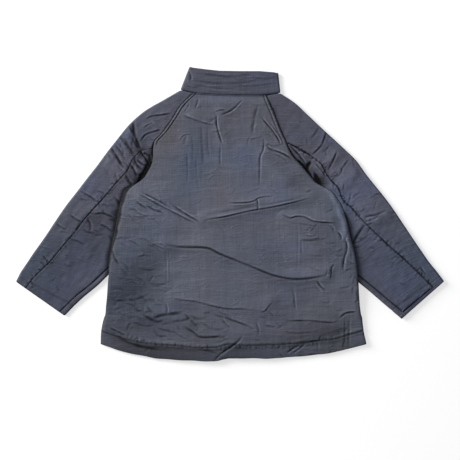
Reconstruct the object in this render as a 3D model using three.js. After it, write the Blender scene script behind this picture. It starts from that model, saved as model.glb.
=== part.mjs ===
// A padded raglan coat with a stand collar, laid out flat on its front with its back upwards.
// Eight cut pieces lie on each other in layers: the fronts and the undersides of the sleeves on the surface,
// the back, the upper sides of the sleeves and the back of the collar over them. Where a sleeve points down
// along the body, the body lies over both layers of the sleeve.
// Millimetres, +Z up off the surface, +Y towards the collar, +X towards the wearer's right.
import * as THREE from "three";

// ---- Driving dimensions ----
const CLOTH = 5; // the padded cloth: shell, wadding and lining
const SEAM_CLOTH = 2.6; // the same cloth where a seam or a turned edge presses it flat
const SEAM_ROLL = 13; // width over which the wadding thins towards a seam
const GAP = 0.3; // between layers that lie on each other
const SEAM_GAP = 0.3; // between two pieces across a seam
const LAYER = CLOTH + GAP; // one cloth to the next
const LOW = CLOTH / 2; // height of the lowest cloth's middle
const HIGH = LOW + LAYER; // height of the next cloth's middle
const FOLD_RADIUS = LAYER / 2; // of the cloth's middle where it turns back on itself
const FOLD_EDGE = FOLD_RADIUS + CLOTH / 2; // of its outside
const HEM_DEPTH = 35; // turned hem, stitched along its top
const CUFF_DEPTH = 24; // turned cuff edge
const STITCH_DIP = 1.2; // how much thinner the cloth is along a stitched line
const STITCH_WIDTH = 7;
const OVERLAP = 40; // the fronts lie over each other this far to each side of the middle
const OVERLAP_FOOT = 74; // and cloth over them comes down to here
const RAMP_TOP = 5; // cloth that climbs over a sleeve is level this far before the sleeve's edge
const RAMP_FOOT = 49; // and starts to climb this far before it
const UNDERARM_SEAM = 11; // the underarm seam lies this far in from the sleeve's inner fold
const HEM_CORNER = -339; // height of the hem's corners
const RAGLAN_FOOT = 184; // height at which the raglan seams go under the body
const RAGLAN_UNDER = 148; // and from here down the body lies fully over the sleeve's upper cloth
const UNDERARM = -36; // the fronts lie over the sleeves from here down
const UNDERARM_TOP = 24; // and start to climb on them here

// ---- Small helpers ----
const TOP = Math.PI / 2;
const DOWN = -TOP;
const UP = new THREE.Vector3(0, 0, 1);
const mix = (a, b, t) => a + (b - a) * t;
const clamp01 = (t) => Math.min(1, Math.max(0, t));
const smooth = (from, to, x) => {
  const t = clamp01((x - from) / (to - from));
  return t * t * (3 - 2 * t);
};
const flat = ([x, y]) => new THREE.Vector2(x, y);
const SIDES = { left: -1, right: 1 };

// Distance from a polyline.
function distanceTo(line, x, y) {
  let best = Infinity;
  for (let i = 0; i + 1 < line.length; i++) {
    const a = line[i];
    const dx = line[i + 1].x - a.x;
    const dy = line[i + 1].y - a.y;
    const t = clamp01(((x - a.x) * dx + (y - a.y) * dy) / (dx * dx + dy * dy));
    best = Math.min(best, Math.hypot(x - a.x - dx * t, y - a.y - dy * t));
  }
  return best;
}
// How far along the segment from a to b a polyline crosses it, or 1 if it doesn't.
function crossingShare(a, b, line) {
  const along = b.clone().sub(a);
  for (let i = 0; i + 1 < line.length; i++) {
    const step = line[i + 1].clone().sub(line[i]);
    const offset = line[i].clone().sub(a);
    const cross = along.cross(step);
    const share = offset.cross(step) / cross;
    const other = offset.cross(along) / cross;
    if (share >= 0 && share <= 1 && other >= 0 && other <= 1) return share;
  }
  return 1;
}
// The value of one named column of a table at a height, the rows running up or down.
function columnAt(rows, key, y) {
  const value = (row) => row[key];
  const up = rows[0].y < rows[rows.length - 1].y ? rows : [...rows].reverse();
  if (y <= up[0].y) return value(up[0]);
  for (let i = 0; i + 1 < up.length; i++)
    if (y <= up[i + 1].y) {
      const share = (y - up[i].y) / (up[i + 1].y - up[i].y);
      return mix(value(up[i]), value(up[i + 1]), share);
    }
  return value(up[up.length - 1]);
}

// ---- One closed wall of cloth from a grid of middle points ----
// Each cell is { at, out, thick }: the cloth's middle, its outward direction and its thickness.
// Columns turned towards rows point outwards. Layers on each other are split along the same diagonals.
const CLOTH_BLUE = 0x4b4e5a;
function wall(name, grid, otherDiagonal = false) {
  const rows = grid.length;
  const columns = grid[0].length;
  const position = [];
  const index = [];
  for (const side of [0.5, -0.5])
    for (const row of grid)
      for (const { at, out, thick } of row) position.push(...at.clone().addScaledVector(out, side * thick));
  const outer = (i, j) => i * columns + j;
  const inner = (i, j) => rows * columns + outer(i, j);
  const quad = (a, b, c, d) => index.push(a, b, c, a, c, d);
  const lastRow = rows - 1;
  const lastColumn = columns - 1;
  for (let i = 0; i < lastRow; i++)
    for (let j = 0; j < lastColumn; j++) {
      for (const [face, k, l] of [[outer, j, j + 1], [inner, j + 1, j]]) {
        const corners = [face(i, k), face(i, l), face(i + 1, l), face(i + 1, k)];
        if ((face === outer) === otherDiagonal) corners.unshift(corners.pop());
        quad(...corners);
      }
    }
  for (let j = 0; j < lastColumn; j++) {
    quad(outer(0, j + 1), outer(0, j), inner(0, j), inner(0, j + 1));
    quad(outer(lastRow, j), outer(lastRow, j + 1), inner(lastRow, j + 1), inner(lastRow, j));
  }
  for (let i = 0; i < lastRow; i++) {
    quad(outer(i, 0), outer(i + 1, 0), inner(i + 1, 0), inner(i, 0));
    quad(outer(i + 1, lastColumn), outer(i, lastColumn), inner(i, lastColumn), inner(i + 1, lastColumn));
  }
  const geometry = new THREE.BufferGeometry();
  geometry.setAttribute("position", new THREE.Float32BufferAttribute(position, 3));
  geometry.setIndex(index);
  geometry.computeVertexNormals();
  const cloth = new THREE.MeshStandardMaterial({ color: CLOTH_BLUE, roughness: 0.62, metalness: 0 });
  const mesh = new THREE.Mesh(geometry, cloth);
  mesh.name = name;
  return mesh;
}
// Mirrored pieces run the other way, so their columns are turned round to keep their outside outside.
const oriented = (grid, forward) => (forward ? grid : grid.map((row) => [...row].reverse()));
// The cloth's thickness a given distance in from the nearest seam or edge, and along a stitched line.
const thicknessAt = (inward) => mix(SEAM_CLOTH, CLOTH, Math.sqrt(smooth(0, SEAM_ROLL, inward)));
const stitchDip = (away) => STITCH_DIP * Math.exp(-((away / STITCH_WIDTH) ** 2));

// ---- Largest folds: a ridge along a curve through a few points ----
const BACK_FOLDS = [
  { along: [[-166, -81], [-63, -90], [36, -126], [113, -157], [166, -166], [250, -157]], high: 7, wide: 19 },
  { along: [[-231, 47], [-170, 26], [-124, 4], [-78, -20]], high: 5, wide: 19 },
  { along: [[-70, -10], [-9, 0], [67, 15], [212, 46]], high: 7, wide: 20 },
  { along: [[143, 0], [212, -14], [262, -18]], high: 4, wide: 17 },
  { along: [[-147, -217], [-17, -238], [75, -248], [109, -229]], high: 4, wide: 18 },
  { along: [[-240, -275], [-170, -262], [-110, -285]], high: 4, wide: 18 },
  { along: [[90, 150], [120, 118], [150, 90]], high: 3.5, wide: 17 },
  { along: [[-20, 262], [-22, 225], [-12, 190]], high: 3, wide: 17 },
  { along: [[-90, 262], [-60, 250], [-30, 244]], high: 3, wide: 16 },
];
const SLEEVE_FOLDS = {
  left: [
    { along: [[-272, 225], [-262, 190], [-240, 158]], high: 4, wide: 15 },
    { along: [[-320, 150], [-296, 124], [-270, 104]], high: 4, wide: 15 },
    { along: [[-380, -2], [-330, 4], [-305, -8]], high: 4, wide: 16 },
    { along: [[-420, -60], [-392, -64], [-362, -88]], high: 3, wide: 15 },
  ],
  right: [
    { along: [[290, 160], [262, 140], [236, 128]], high: 4, wide: 15 },
    { along: [[330, 110], [306, 84], [286, 72]], high: 4, wide: 15 },
    { along: [[420, 0], [388, -14], [350, -24]], high: 4, wide: 16 },
  ],
};
const FOLD_SAMPLES = 14;
const drawn = (folds) =>
  folds.map((fold) => {
    const curve = new THREE.SplineCurve(fold.along.map(flat));
    return { ...fold, line: curve.getPoints(FOLD_SAMPLES) };
  });
const ridgesAt = (folds, x, y) =>
  Math.max(0, ...folds.map(({ line, high, wide }) => high * Math.exp(-((distanceTo(line, x, y) / wide) ** 2))));
const backFolds = drawn(BACK_FOLDS);
const sleeveFolds = { left: drawn(SLEEVE_FOLDS.left), right: drawn(SLEEVE_FOLDS.right) };

// ---- The body's outline from the hem's corners to the foot of the raglan seams, by height ----
const BODY_EDGE = [
  { y: HEM_CORNER, left: -334, right: 355 },
  { y: -300, left: -331, right: 347 },
  { y: -260, left: -324, right: 342 },
  { y: -210, left: -318, right: 337 },
  { y: -150, left: -314, right: 333 },
  { y: -105, left: -311, right: 326 },
  { y: -60, left: -301, right: 315 },
  { y: -18, left: -292, right: 305 },
  { y: 24, left: -284, right: 291 },
  { y: 58, left: -273, right: 268 },
  { y: 70, left: -262, right: 247 },
  { y: 80, left: -239, right: 224 },
  { y: 94, left: -221, right: 214 },
  { y: 110, left: -212, right: 200 },
  { y: 128, left: -202, right: 186 },
  { y: 146, left: -199, right: 167 },
  { y: 169, left: -199, right: 153 },
  { y: RAGLAN_FOOT + 4, left: -196, right: 147 },
];
const bodyEdge = (side, y) => columnAt(BODY_EDGE, side, y);

// ---- Sleeves, by sections from the neck to the cuff ----
// outer: the fold along the top of the arm. above, below: the raglan ends of the upper and the lower layer.
// inner: the fold along the underarm.
const SLEEVES = {
  left: [
    { outer: [-128, 322], above: [-95, 314], below: [-109, 265] },
    { outer: [-175, 295], above: [-126, 283], below: [-128, 250] },
    { outer: [-221, 268], above: [-147, 250], below: [-150, 232] },
    { outer: [-260, 234], above: [-173, 213], below: [-172, 208] },
    { outer: [-297, 189], above: [-196, 188], below: [-188, 184] },
    { outer: [-322, 157], above: [-201, 158], below: [-190, 155] },
    { outer: [-344, 127], above: [-194, 128], below: [-193, 126] },
    { outer: [-370, 94], above: [-199, 80], below: [-199, 80] },
    { outer: [-396, 60], above: [-206, 40], below: [-206, 40] },
    { outer: [-421, 28], inner: [-213, 0] },
    { outer: [-445, -6], inner: [-222, -45] },
    { outer: [-468, -41], inner: [-242, -88] },
    { outer: [-490, -73], inner: [-272, -120] },
    { outer: [-510, -101], inner: [-306, -150] },
    { outer: [-528, -128], inner: [-343, -186] },
    { outer: [-544, -152], inner: [-386, -222] },
    { outer: [-556, -176], inner: [-429, -265] },
  ],
  right: [
    { outer: [133, 314], above: [97, 308], below: [114, 264] },
    { outer: [169, 290], above: [106, 285], below: [130, 246] },
    { outer: [206, 256], above: [116, 262], below: [144, 226] },
    { outer: [243, 221], above: [132, 221], below: [156, 206] },
    { outer: [279, 188], above: [147, 188], below: [166, 184] },
    { outer: [305, 164], above: [159, 163], below: [168, 158] },
    { outer: [331, 138], above: [164, 138], below: [171, 130] },
    { outer: [357, 102], above: [180, 94], below: [180, 94] },
    { outer: [381, 72], above: [198, 48], below: [198, 48] },
    { outer: [406, 41], inner: [211, 0] },
    { outer: [430, 8], inner: [224, -48] },
    { outer: [454, -28], inner: [248, -96] },
    { outer: [478, -64], inner: [281, -132] },
    { outer: [499, -95], inner: [318, -164] },
    { outer: [520, -125], inner: [358, -196] },
    { outer: [541, -151], inner: [402, -234] },
    { outer: [559, -175], inner: [448, -273] },
  ],
};
const NECK = 0; // the sections' numbers at the sleeve's landmarks
const BODY_CORNER = 4;
const ARMPIT = 9;
const ROLLED = 10.5; // from here the underarm seam has left the inner fold
const SEAM_INSIDE = 12; // and from here it runs its full distance in from it
const CUFF = 16;
const HALF = 0.5;
const SECTION_LENGTH = 41; // from one section to the next

// The seam down the back of the arm, from the raglan seam to the cuff.
const BACK_SEAM = {
  left: [
    { x: -197, y: 172 },
    { x: -225, y: 166 },
    { x: -246, y: 149 },
    { x: -256, y: 133 },
    { x: -268, y: 109 },
    { x: -291, y: 85 },
    { x: -326, y: 43 },
    { x: -372, y: -8 },
    { x: -406, y: -52 },
    { x: -433, y: -83 },
    { x: -467, y: -124 },
    { x: -509, y: -166 },
    { x: -530, y: -194 },
  ],
  right: [
    { x: 146, y: 185 },
    { x: 168, y: 178 },
    { x: 190, y: 166 },
    { x: 212, y: 151 },
    { x: 238, y: 131 },
    { x: 248, y: 112 },
    { x: 261, y: 92 },
    { x: 284, y: 66 },
    { x: 296, y: 37 },
    { x: 321, y: 13 },
    { x: 346, y: -16 },
    { x: 416, y: -83 },
    { x: 458, y: -120 },
    { x: 530, y: -190 },
  ],
};

const halfSections = Object.fromEntries(
  Object.keys(SIDES).map((side) => {
    const rows = SLEEVES[side];
    const curve = (key) => new THREE.SplineCurve(rows.map((row) => flat(row[key] ?? row.inner)));
    const curves = { outer: curve("outer"), above: curve("above"), below: curve("below") };
    const seamLine = BACK_SEAM[side].map(({ x, y }) => new THREE.Vector2(x, y));
    const sections = [];
    for (let row = NECK; row <= CUFF; row += HALF) {
      const at = (key) => curves[key].getPoint(row / CUFF);
      const section = { outer: at("outer"), above: at("above"), below: at("below") };
      if (row >= ARMPIT) section.below = section.above.clone();
      section.seam = row <= BODY_CORNER ? 1 : crossingShare(section.outer, section.above, seamLine);
      sections.push(section);
    }
    return [side, sections];
  }),
);
// A section between two half sections lies straight between them, so that neighbours' edges match.
function sectionAt(side, row) {
  const sections = halfSections[side];
  const i = Math.min(Math.floor(row / HALF), sections.length - 2);
  const t = row / HALF - i;
  const [a, b] = [sections[i], sections[i + 1]];
  const between = (key) => a[key].clone().lerp(b[key], t);
  const ends = { above: between("above"), below: between("below") };
  return { outer: between("outer"), ...ends, seam: mix(a.seam, b.seam, t) };
}
const splitRow = (side) => HALF * (halfSections[side].findIndex(({ seam }) => seam < 1) - 1);

// Height of the ends of the sleeve's lower layer, and so of its inner edge, across the body.
const innerEdge = Object.fromEntries(
  Object.keys(SIDES).map((side) => {
    const lowerHalf = halfSections[side].slice(BODY_CORNER / HALF);
    return [side, lowerHalf.map(({ below }) => ({ y: below.y, x: below.x }))];
  }),
);
const sleeveEdge = (side, y) => columnAt(innerEdge[side], "x", y);

// ---- How the body climbs over the sleeves and over the fronts' overlap ----
const overSleeve = (side, x, y) => 1 - smooth(RAMP_TOP, RAMP_FOOT, (sleeveEdge(side, y) - x) * SIDES[side]);
const belowUnderarm = (y) => smooth(UNDERARM_TOP, UNDERARM, y);
const belowRaglan = (y) => smooth(RAGLAN_FOOT, RAGLAN_UNDER, y);
const nearSide = (x) => (x < 0 ? "left" : "right");
const frontLift = (x, y) => 2 * LAYER * overSleeve(nearSide(x), x, y) * belowUnderarm(y);
const backLift = (x, y) =>
  LAYER * overSleeve(nearSide(x), x, y) * (belowRaglan(y) + belowUnderarm(y)) +
  LAYER * (1 - smooth(OVERLAP, OVERLAP_FOOT, Math.abs(x)));
const leftFrontLift = (x) => LAYER * smooth(-OVERLAP_FOOT, -OVERLAP, x);

// ---- The body's grid: every panel of the body uses the same places, so that layers stay parallel ----
const HEM_ROWS = [0, 5, 16, HEM_DEPTH, 49]; // heights of the first rows above the hem's corners
const FIRST_EVEN_ROW = 63; // and from here the rows are evenly spaced
const ROW_STEP = 20;
const bodyHeights = HEM_ROWS.map((up) => HEM_CORNER + up);
for (let y = HEM_CORNER + FIRST_EVEN_ROW; y <= RAGLAN_FOOT; y += ROW_STEP) bodyHeights.push(y);
const BETWEEN = [0.2, 0.4, 0.6, 0.8];
const EDGE_COLUMNS = { seam: 4, top: 9, middle: 26, foot: 46 }; // least distances in from the body's edge
const OVERLAP_COLUMNS = [-OVERLAP_FOOT, -(OVERLAP + OVERLAP_FOOT) / 2, -OVERLAP];

// Distances of the columns from the middle on one side, from the edge inwards to the overlap.
function sideColumns(side, y, edge) {
  const sign = SIDES[side];
  const sleeve = sleeveEdge(side, y) * sign;
  const rampMiddle = (RAMP_TOP + RAMP_FOOT) / 2;
  const e = edge * sign;
  const seam = e - EDGE_COLUMNS.seam;
  const top = Math.min(e - EDGE_COLUMNS.top, sleeve - RAMP_TOP);
  const middle = Math.min(e - EDGE_COLUMNS.middle, sleeve - rampMiddle);
  const foot = Math.min(e - EDGE_COLUMNS.foot, sleeve - RAMP_FOOT);
  return [e, seam, top, middle, foot, ...BETWEEN.map((t) => mix(foot, OVERLAP_FOOT, t))].map((d) => d * sign);
}
// Above the raglan seams' foot the columns close in evenly on the neck.
function squeezed(columns, edge) {
  const from = columns[0];
  const end = SIDES[nearSide(from)] * OVERLAP_FOOT;
  return columns.map((x) => mix(edge, end, (x - from) / (end - from)));
}
const HEM_DROOP = { left: 44, right: 37 }; // how far the hem hangs below its corners
const HEM_ROUND = 3; // how square that curve is
const DROOP_STEP = 40; // the left droop turns into the right one over this width
const DROOP_HOLDS = 60; // the cloth follows the hem's curve up to here above its corners
const DROOP_ENDS = 190; // and no longer follows it from here
function hemBow(x, y) {
  const edge = bodyEdge(nearSide(x), HEM_CORNER);
  const droop = mix(HEM_DROOP.left, HEM_DROOP.right, smooth(-DROOP_STEP, 0, x));
  const followed = 1 - smooth(HEM_CORNER + DROOP_HOLDS, HEM_CORNER + DROOP_ENDS, y);
  return -droop * (1 - Math.abs(x / edge) ** HEM_ROUND) * followed;
}
const hemDip = (y) => stitchDip(y - HEM_CORNER - HEM_DEPTH);

// ---- Back ----
const NECK_BOW = 2; // how far the neck seam sags at the middle
const MIDDLE = 13; // the two columns beside the centre back
const MIDDLE_COLUMNS = [...OVERLAP_COLUMNS, -MIDDLE, MIDDLE, ...OVERLAP_COLUMNS.map((x) => -x).reverse()];
const raglanRows = [];
for (let row = BODY_CORNER; row >= NECK; row -= HALF) raglanRows.push(row);
raglanRows.splice(-1, 0, HALF / 4);

const backNeck = (x) => {
  const [left, right] = [sectionAt("left", NECK).above, sectionAt("right", NECK).above];
  const share = clamp01((x - left.x) / (right.x - left.x));
  return mix(left.y, right.y, share) - NECK_BOW * Math.sin(Math.PI * share);
};

function makeBack() {
  const inset = SEAM_GAP / 2;
  const lower = bodyHeights.slice(0, -1).map((y) => {
    const columns = [
      ...sideColumns("left", y, bodyEdge("left", y) + inset),
      ...MIDDLE_COLUMNS,
      ...sideColumns("right", y, bodyEdge("right", y) - inset).reverse(),
    ];
    return columns.map((x) => [x, y + hemBow(x, y)]);
  });
  const cornerHeight = bodyHeights.at(-1);
  const cornerColumns = (side) => sideColumns(side, cornerHeight, bodyEdge(side, cornerHeight));
  const upper = raglanRows.map((row) => {
    const left = sectionAt("left", row).above;
    const right = sectionAt("right", row).above;
    const columns = [
      ...squeezed(cornerColumns("left"), left.x + inset),
      ...MIDDLE_COLUMNS,
      ...squeezed(cornerColumns("right"), right.x - inset).reverse(),
    ];
    const bow = NECK_BOW * (1 - row / BODY_CORNER) ** 2;
    return columns.map((x) => {
      const share = (x - left.x) / (right.x - left.x);
      return [x, mix(left.y, right.y, share) - bow * Math.sin(Math.PI * clamp01(share)) - (row === NECK ? inset : 0)];
    });
  });
  const places = [...lower, ...upper];
  const topRow = places.at(-1);
  const grid = places.map((row, i) =>
    row.map(([x, y], j) => {
      const level = i < lower.length ? bodyHeights[i] : RAGLAN_FOOT;
      const fromSide = Math.min(x - row[0][0], row.at(-1)[0] - x);
      const inward = Math.min(fromSide, y - places[0][j][1], topRow[j][1] - y);
      const thick = thicknessAt(inward) - hemDip(level);
      const seamedToFront = smooth(UNDERARM + ROW_STEP, UNDERARM - ROW_STEP, level) * smooth(SEAM_ROLL, 0, fromSide);
      const z = HIGH + backLift(x, level) + ridgesAt(backFolds, x, y) - (seamedToFront * (CLOTH - thick)) / 2;
      return { at: new THREE.Vector3(x, y, z), out: UP, thick };
    }),
  );
  return wall("back", grid);
}

// ---- Fronts: the right one lies lowest where they overlap ----
const FRONT_NECK = 226; // height of the front neckline where the fronts overlap
const FRONT_NECK_ROUND = 1.7;
function frontNeck(x) {
  const end = sectionAt(nearSide(x), NECK).below;
  const share = clamp01((Math.abs(x) - OVERLAP) / (Math.abs(end.x) - OVERLAP));
  return mix(FRONT_NECK, end.y, share ** FRONT_NECK_ROUND);
}
const ARMHOLE_CLEARANCE = 3; // a front keeps this far from the sleeve's fold while it climbs
function makeFront(side) {
  const sign = SIDES[side];
  const free = -sign * OVERLAP;
  const middleColumns = [...OVERLAP_COLUMNS.map((x) => -sign * x), 0, free];
  const frontEdge = (y) => {
    if (y < UNDERARM - 1) return bodyEdge(side, y) - sign * (SEAM_GAP / 2);
    return sleeveEdge(side, y) - sign * mix(2 * SEAM_GAP, ARMHOLE_CLEARANCE, smooth(ROW_STEP, UNDERARM, y));
  };
  const lower = bodyHeights.map((y) => {
    const edge = frontEdge(y);
    const columns = sideColumns(side, y, edge);
    // Beside the armhole the outermost columns crowd up to the seam, and the others stay under the back's.
    const open = y < UNDERARM - 1 ? columns : [edge, edge - sign, ...sideColumns(side, y, bodyEdge(side, y)).slice(2)];
    return [...open, ...middleColumns].map((x) => [x, y + hemBow(x, y)]);
  });
  const corner = lower.at(-1);
  const edgeCount = corner.length - middleColumns.length;
  const upper = raglanRows.slice(1).map((row) => {
    const end = sectionAt(side, row).below;
    const share = 1 - row / BODY_CORNER;
    const columns = [
      ...squeezed(corner.slice(0, edgeCount).map(([x]) => x), end.x - sign * (SEAM_GAP / 2)),
      ...middleColumns,
    ];
    const top = squeezed(corner.slice(0, edgeCount).map(([x]) => x), sectionAt(side, NECK).below.x);
    return columns.map((x, j) => {
      const straight = mix(RAGLAN_FOOT, frontNeck(top[j] ?? x), share);
      const fromEdge = clamp01((x - columns[0]) / (free - columns[0]));
      const fit = end.y - mix(RAGLAN_FOOT, sectionAt(side, NECK).below.y, share);
      return [x, straight + fit * (1 - fromEdge) ** 2];
    });
  });
  const places = [...lower, ...upper];
  const grid = places.map((row, i) =>
    row.map(([x, y], j) => {
      const sideways = Math.min(Math.abs(x - row[0][0]), Math.abs(row.at(-1)[0] - x));
      const inward = Math.min(sideways, y - places[0][j][1], places.at(-1)[j][1] - y);
      const level = i < bodyHeights.length ? bodyHeights[i] : y;
      const thick = thicknessAt(inward) - hemDip(level);
      const seamedToBack = level < UNDERARM - 1 ? smooth(SEAM_ROLL, 0, Math.abs(x - row[0][0])) : 0;
      const lift = Math.max(frontLift(x, level), side === "left" ? leftFrontLift(x) : 0);
      const z = LOW + lift + (seamedToBack * (CLOTH - thick)) / 2;
      return { at: new THREE.Vector3(x, y, z), out: UP.clone().negate(), thick };
    }),
  );
  // A front faces down, so its columns run the other way for its outside to be underneath.
  return wall("front_" + side, oriented(grid, side === "right"), true);
}

// ---- Sleeves ----
const OUTER_FOLD_STEPS = 4;
const INNER_ROLL_STEPS = 5;
const UPPER_SHARES = [0, 0.05, 0.25, 0.5, 0.75];
const LOWER_SHARES = [0.25, 0.5, 0.75, 1];
const UNDER_SHARES = [0, 0.1, 0.35, 0.65, 0.9, 1];
const HALF_TURN = Math.PI * FOLD_RADIUS;

// Folds die away towards a sleeve's edges.
const clearOf = (inward) => smooth(2, 26, inward);
// A section as a flattened tube: along is measured from its outer edge towards the body.
function tube(side, row) {
  const section = sectionAt(side, row);
  const toward = (end) => {
    const width = section.outer.distanceTo(end) - SEAM_GAP / 2;
    const direction = end.clone().sub(section.outer).normalize();
    return { width, direction };
  };
  const upper = toward(section.above);
  const lower = toward(section.below);
  const place = ({ width, direction }, along, z, tilt) => {
    const x = section.outer.x + direction.x * along;
    const y = section.outer.y + direction.y * along;
    const outsideBody = y < RAGLAN_FOOT ? (x - bodyEdge(side, y)) * SIDES[side] : width - along;
    const clear = Math.min(width - along, outsideBody);
    const share = clamp01((z - LOW) / LAYER);
    const lift = ridgesAt(sleeveFolds[side], x, y) * clearOf(along) * clearOf(clear) * share;
    const level = new THREE.Vector3(direction.x, direction.y, 0);
    const out = level.multiplyScalar(Math.cos(tilt)).addScaledVector(UP, Math.sin(tilt));
    return { at: new THREE.Vector3(x, y, z + lift), out };
  };
  // A point on the inner fold's path, at a length past the end of the lower layer's flat part.
  const roll = (length) => {
    if (row < ARMPIT) return place(lower, lower.width + length, LOW, DOWN);
    const start = lower.width - FOLD_EDGE;
    if (length <= 0) return place(lower, start + length, LOW, DOWN);
    if (length >= HALF_TURN) return place(upper, start - (length - HALF_TURN), HIGH, TOP);
    const turn = length / FOLD_RADIUS;
    const z = LOW + FOLD_RADIUS * (1 - Math.cos(turn));
    return place(lower, start + FOLD_RADIUS * Math.sin(turn), z, DOWN + turn);
  };
  return { ...section, upper, lower, place, roll };
}
// How far round the inner fold the over sleeve reaches: to its middle at the armpit, then on to the upper side.
function rollEnd(row) {
  if (row < ARMPIT) return 0;
  return mix(HALF_TURN / 2, HALF_TURN, smooth(ARMPIT, ROLLED, row)) + UNDERARM_SEAM * smooth(ROLLED, SEAM_INSIDE, row);
}
const cuffDip = (row) => stitchDip((CUFF - row) * SECTION_LENGTH - CUFF_DEPTH);
const sleeveRows = (first) => {
  const rows = [first];
  for (let row = HALF * (Math.floor(first / HALF) + 1); row <= CUFF; row += HALF) rows.push(row);
  rows.splice(1, 0, mix(rows[0], rows[1], 0.25));
  rows.splice(-1, 0, CUFF - HALF / 4);
  return rows;
};
// The over sleeve: from the back seam over the arm's top, across the underside and round the inner fold.
function makeOverSleeve(side) {
  const grid = sleeveRows(NECK).map((row) => {
    const { upper, lower, seam, place, roll } = tube(side, row);
    const toEnds = Math.min(row, CUFF - row) * SECTION_LENGTH;
    const cells = [];
    const add = (placed, inward) =>
      cells.push({ ...placed, thick: thicknessAt(Math.min(inward, toEnds)) - cuffDip(row) });
    const seamEnd = upper.width * seam - (seam < 1 ? SEAM_GAP / 2 : 0);
    for (const share of UPPER_SHARES)
      add(place(upper, mix(seamEnd, FOLD_EDGE, share), HIGH, TOP), share * seamEnd);
    for (let k = 0; k <= OUTER_FOLD_STEPS; k++) {
      const turn = TOP + (Math.PI * k) / OUTER_FOLD_STEPS;
      const path = k <= OUTER_FOLD_STEPS / 2 ? upper : lower;
      const z = (LOW + HIGH) / 2 + FOLD_RADIUS * Math.sin(turn);
      add(place(path, FOLD_EDGE + FOLD_RADIUS * Math.cos(turn), z, turn), SEAM_ROLL);
    }
    const end = rollEnd(row);
    const flatLength = lower.width - FOLD_EDGE - (row < ARMPIT ? SEAM_ROLL : FOLD_EDGE);
    const rollStart = row < ARMPIT ? -SEAM_ROLL : 0;
    for (const share of LOWER_SHARES) {
      const toEnd = (1 - share) * flatLength - rollStart + end;
      add(roll(rollStart - (1 - share) * flatLength), toEnd);
    }
    for (let k = 1; k <= INNER_ROLL_STEPS; k++) {
      const length = mix(rollStart, end, k / INNER_ROLL_STEPS);
      add(roll(length), end - length);
    }
    return cells;
  });
  return wall("over_sleeve_" + side, oriented(grid, side === "left"));
}

const SPLIT_START = 0.13; // sections below the fork of the seams, where the under sleeve's point is blunted
// The under sleeve: the upper layer between the back seam and the underarm seam, down round the fold at the armpit.
function makeUnderSleeve(side) {
  const first = splitRow(side) + SPLIT_START;
  const grid = sleeveRows(first).map((row) => {
    const { upper, seam, place, roll } = tube(side, row);
    const toEnds = Math.min(row - first, CUFF - row) * SECTION_LENGTH;
    const from = upper.width * seam + SEAM_GAP / 2;
    const pathEnd = rollEnd(row) + SEAM_GAP; // on the path round the inner fold
    const foldTop = row < ARMPIT ? upper.width : upper.width - FOLD_EDGE;
    // Length of the piece past the fold's top, negative before it.
    const flatPast = row < ARMPIT ? 0 : HALF_TURN - pathEnd;
    const total = foldTop - from + flatPast;
    return UNDER_SHARES.map((share) => {
      const travelled = share * total;
      const inward = Math.min(share, 1 - share) * total;
      const thick = thicknessAt(Math.min(inward, toEnds)) - cuffDip(row);
      const along = from + travelled;
      if (along <= foldTop) return { ...place(upper, along, HIGH, TOP), thick };
      return { ...roll(HALF_TURN - (along - foldTop)), thick };
    });
  });
  return wall("under_sleeve_" + side, oriented(grid, side === "right"));
}

// ---- Stand collar: one band from the left front's edge round the neck to the right front's edge ----
// foot is where the band is sewn on; only its place across is given where it follows a neckline.
const COLLAR = [
  { foot: OVERLAP, head: [OVERLAP, 290], half: "front", level: HIGH },
  { foot: 0, head: [3, 288], half: "front", level: HIGH },
  { foot: -OVERLAP, head: [-33, 288], half: "front", level: HIGH },
  { foot: -OVERLAP_FOOT, head: [-56, 300], half: "front", level: LOW },
  { foot: -94, head: [-72, 315], half: "front", level: LOW },
  { foot: [-111, 283], head: [-88, 343], half: "front", level: LOW },
  { foot: [-121, 308], head: [-98, 370], half: "front", level: LOW },
  { foot: [-128, 323], head: [-104, 384], half: "left fold" },
  { foot: -117, head: [-95, 381], half: "back", level: HIGH },
  { foot: -80, head: [-64, 377], half: "back", level: HIGH },
  { foot: -32, head: [-26, 373], half: "back", level: HIGH },
  { foot: 26, head: [26, 372], half: "back", level: HIGH },
  { foot: 80, head: [78, 372], half: "back", level: HIGH },
  { foot: 120, head: [116, 369], half: "back", level: HIGH },
  { foot: [133, 315], head: [127, 368], half: "right fold" },
  { foot: [126, 303], head: [118, 356], half: "front", level: LOW },
  { foot: [118, 281], head: [98, 334], half: "front", level: LOW },
  { foot: 98, head: [76, 310], half: "front", level: LOW },
  { foot: OVERLAP_FOOT, head: [56, 298], half: "front", level: LOW },
  { foot: 30, head: [22, 288], half: "front", level: LOW },
  { foot: -OVERLAP, head: [-OVERLAP, 288], half: "front", level: LOW },
];
const COLLAR_SHARES = [0, 0.07, 0.3, 0.6, 0.93, 1];
const COLLAR_FOLD_STEPS = 4;
const COLLAR_CLEARANCE = 0.7; // the band's foot keeps this far from the curved necklines

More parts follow.
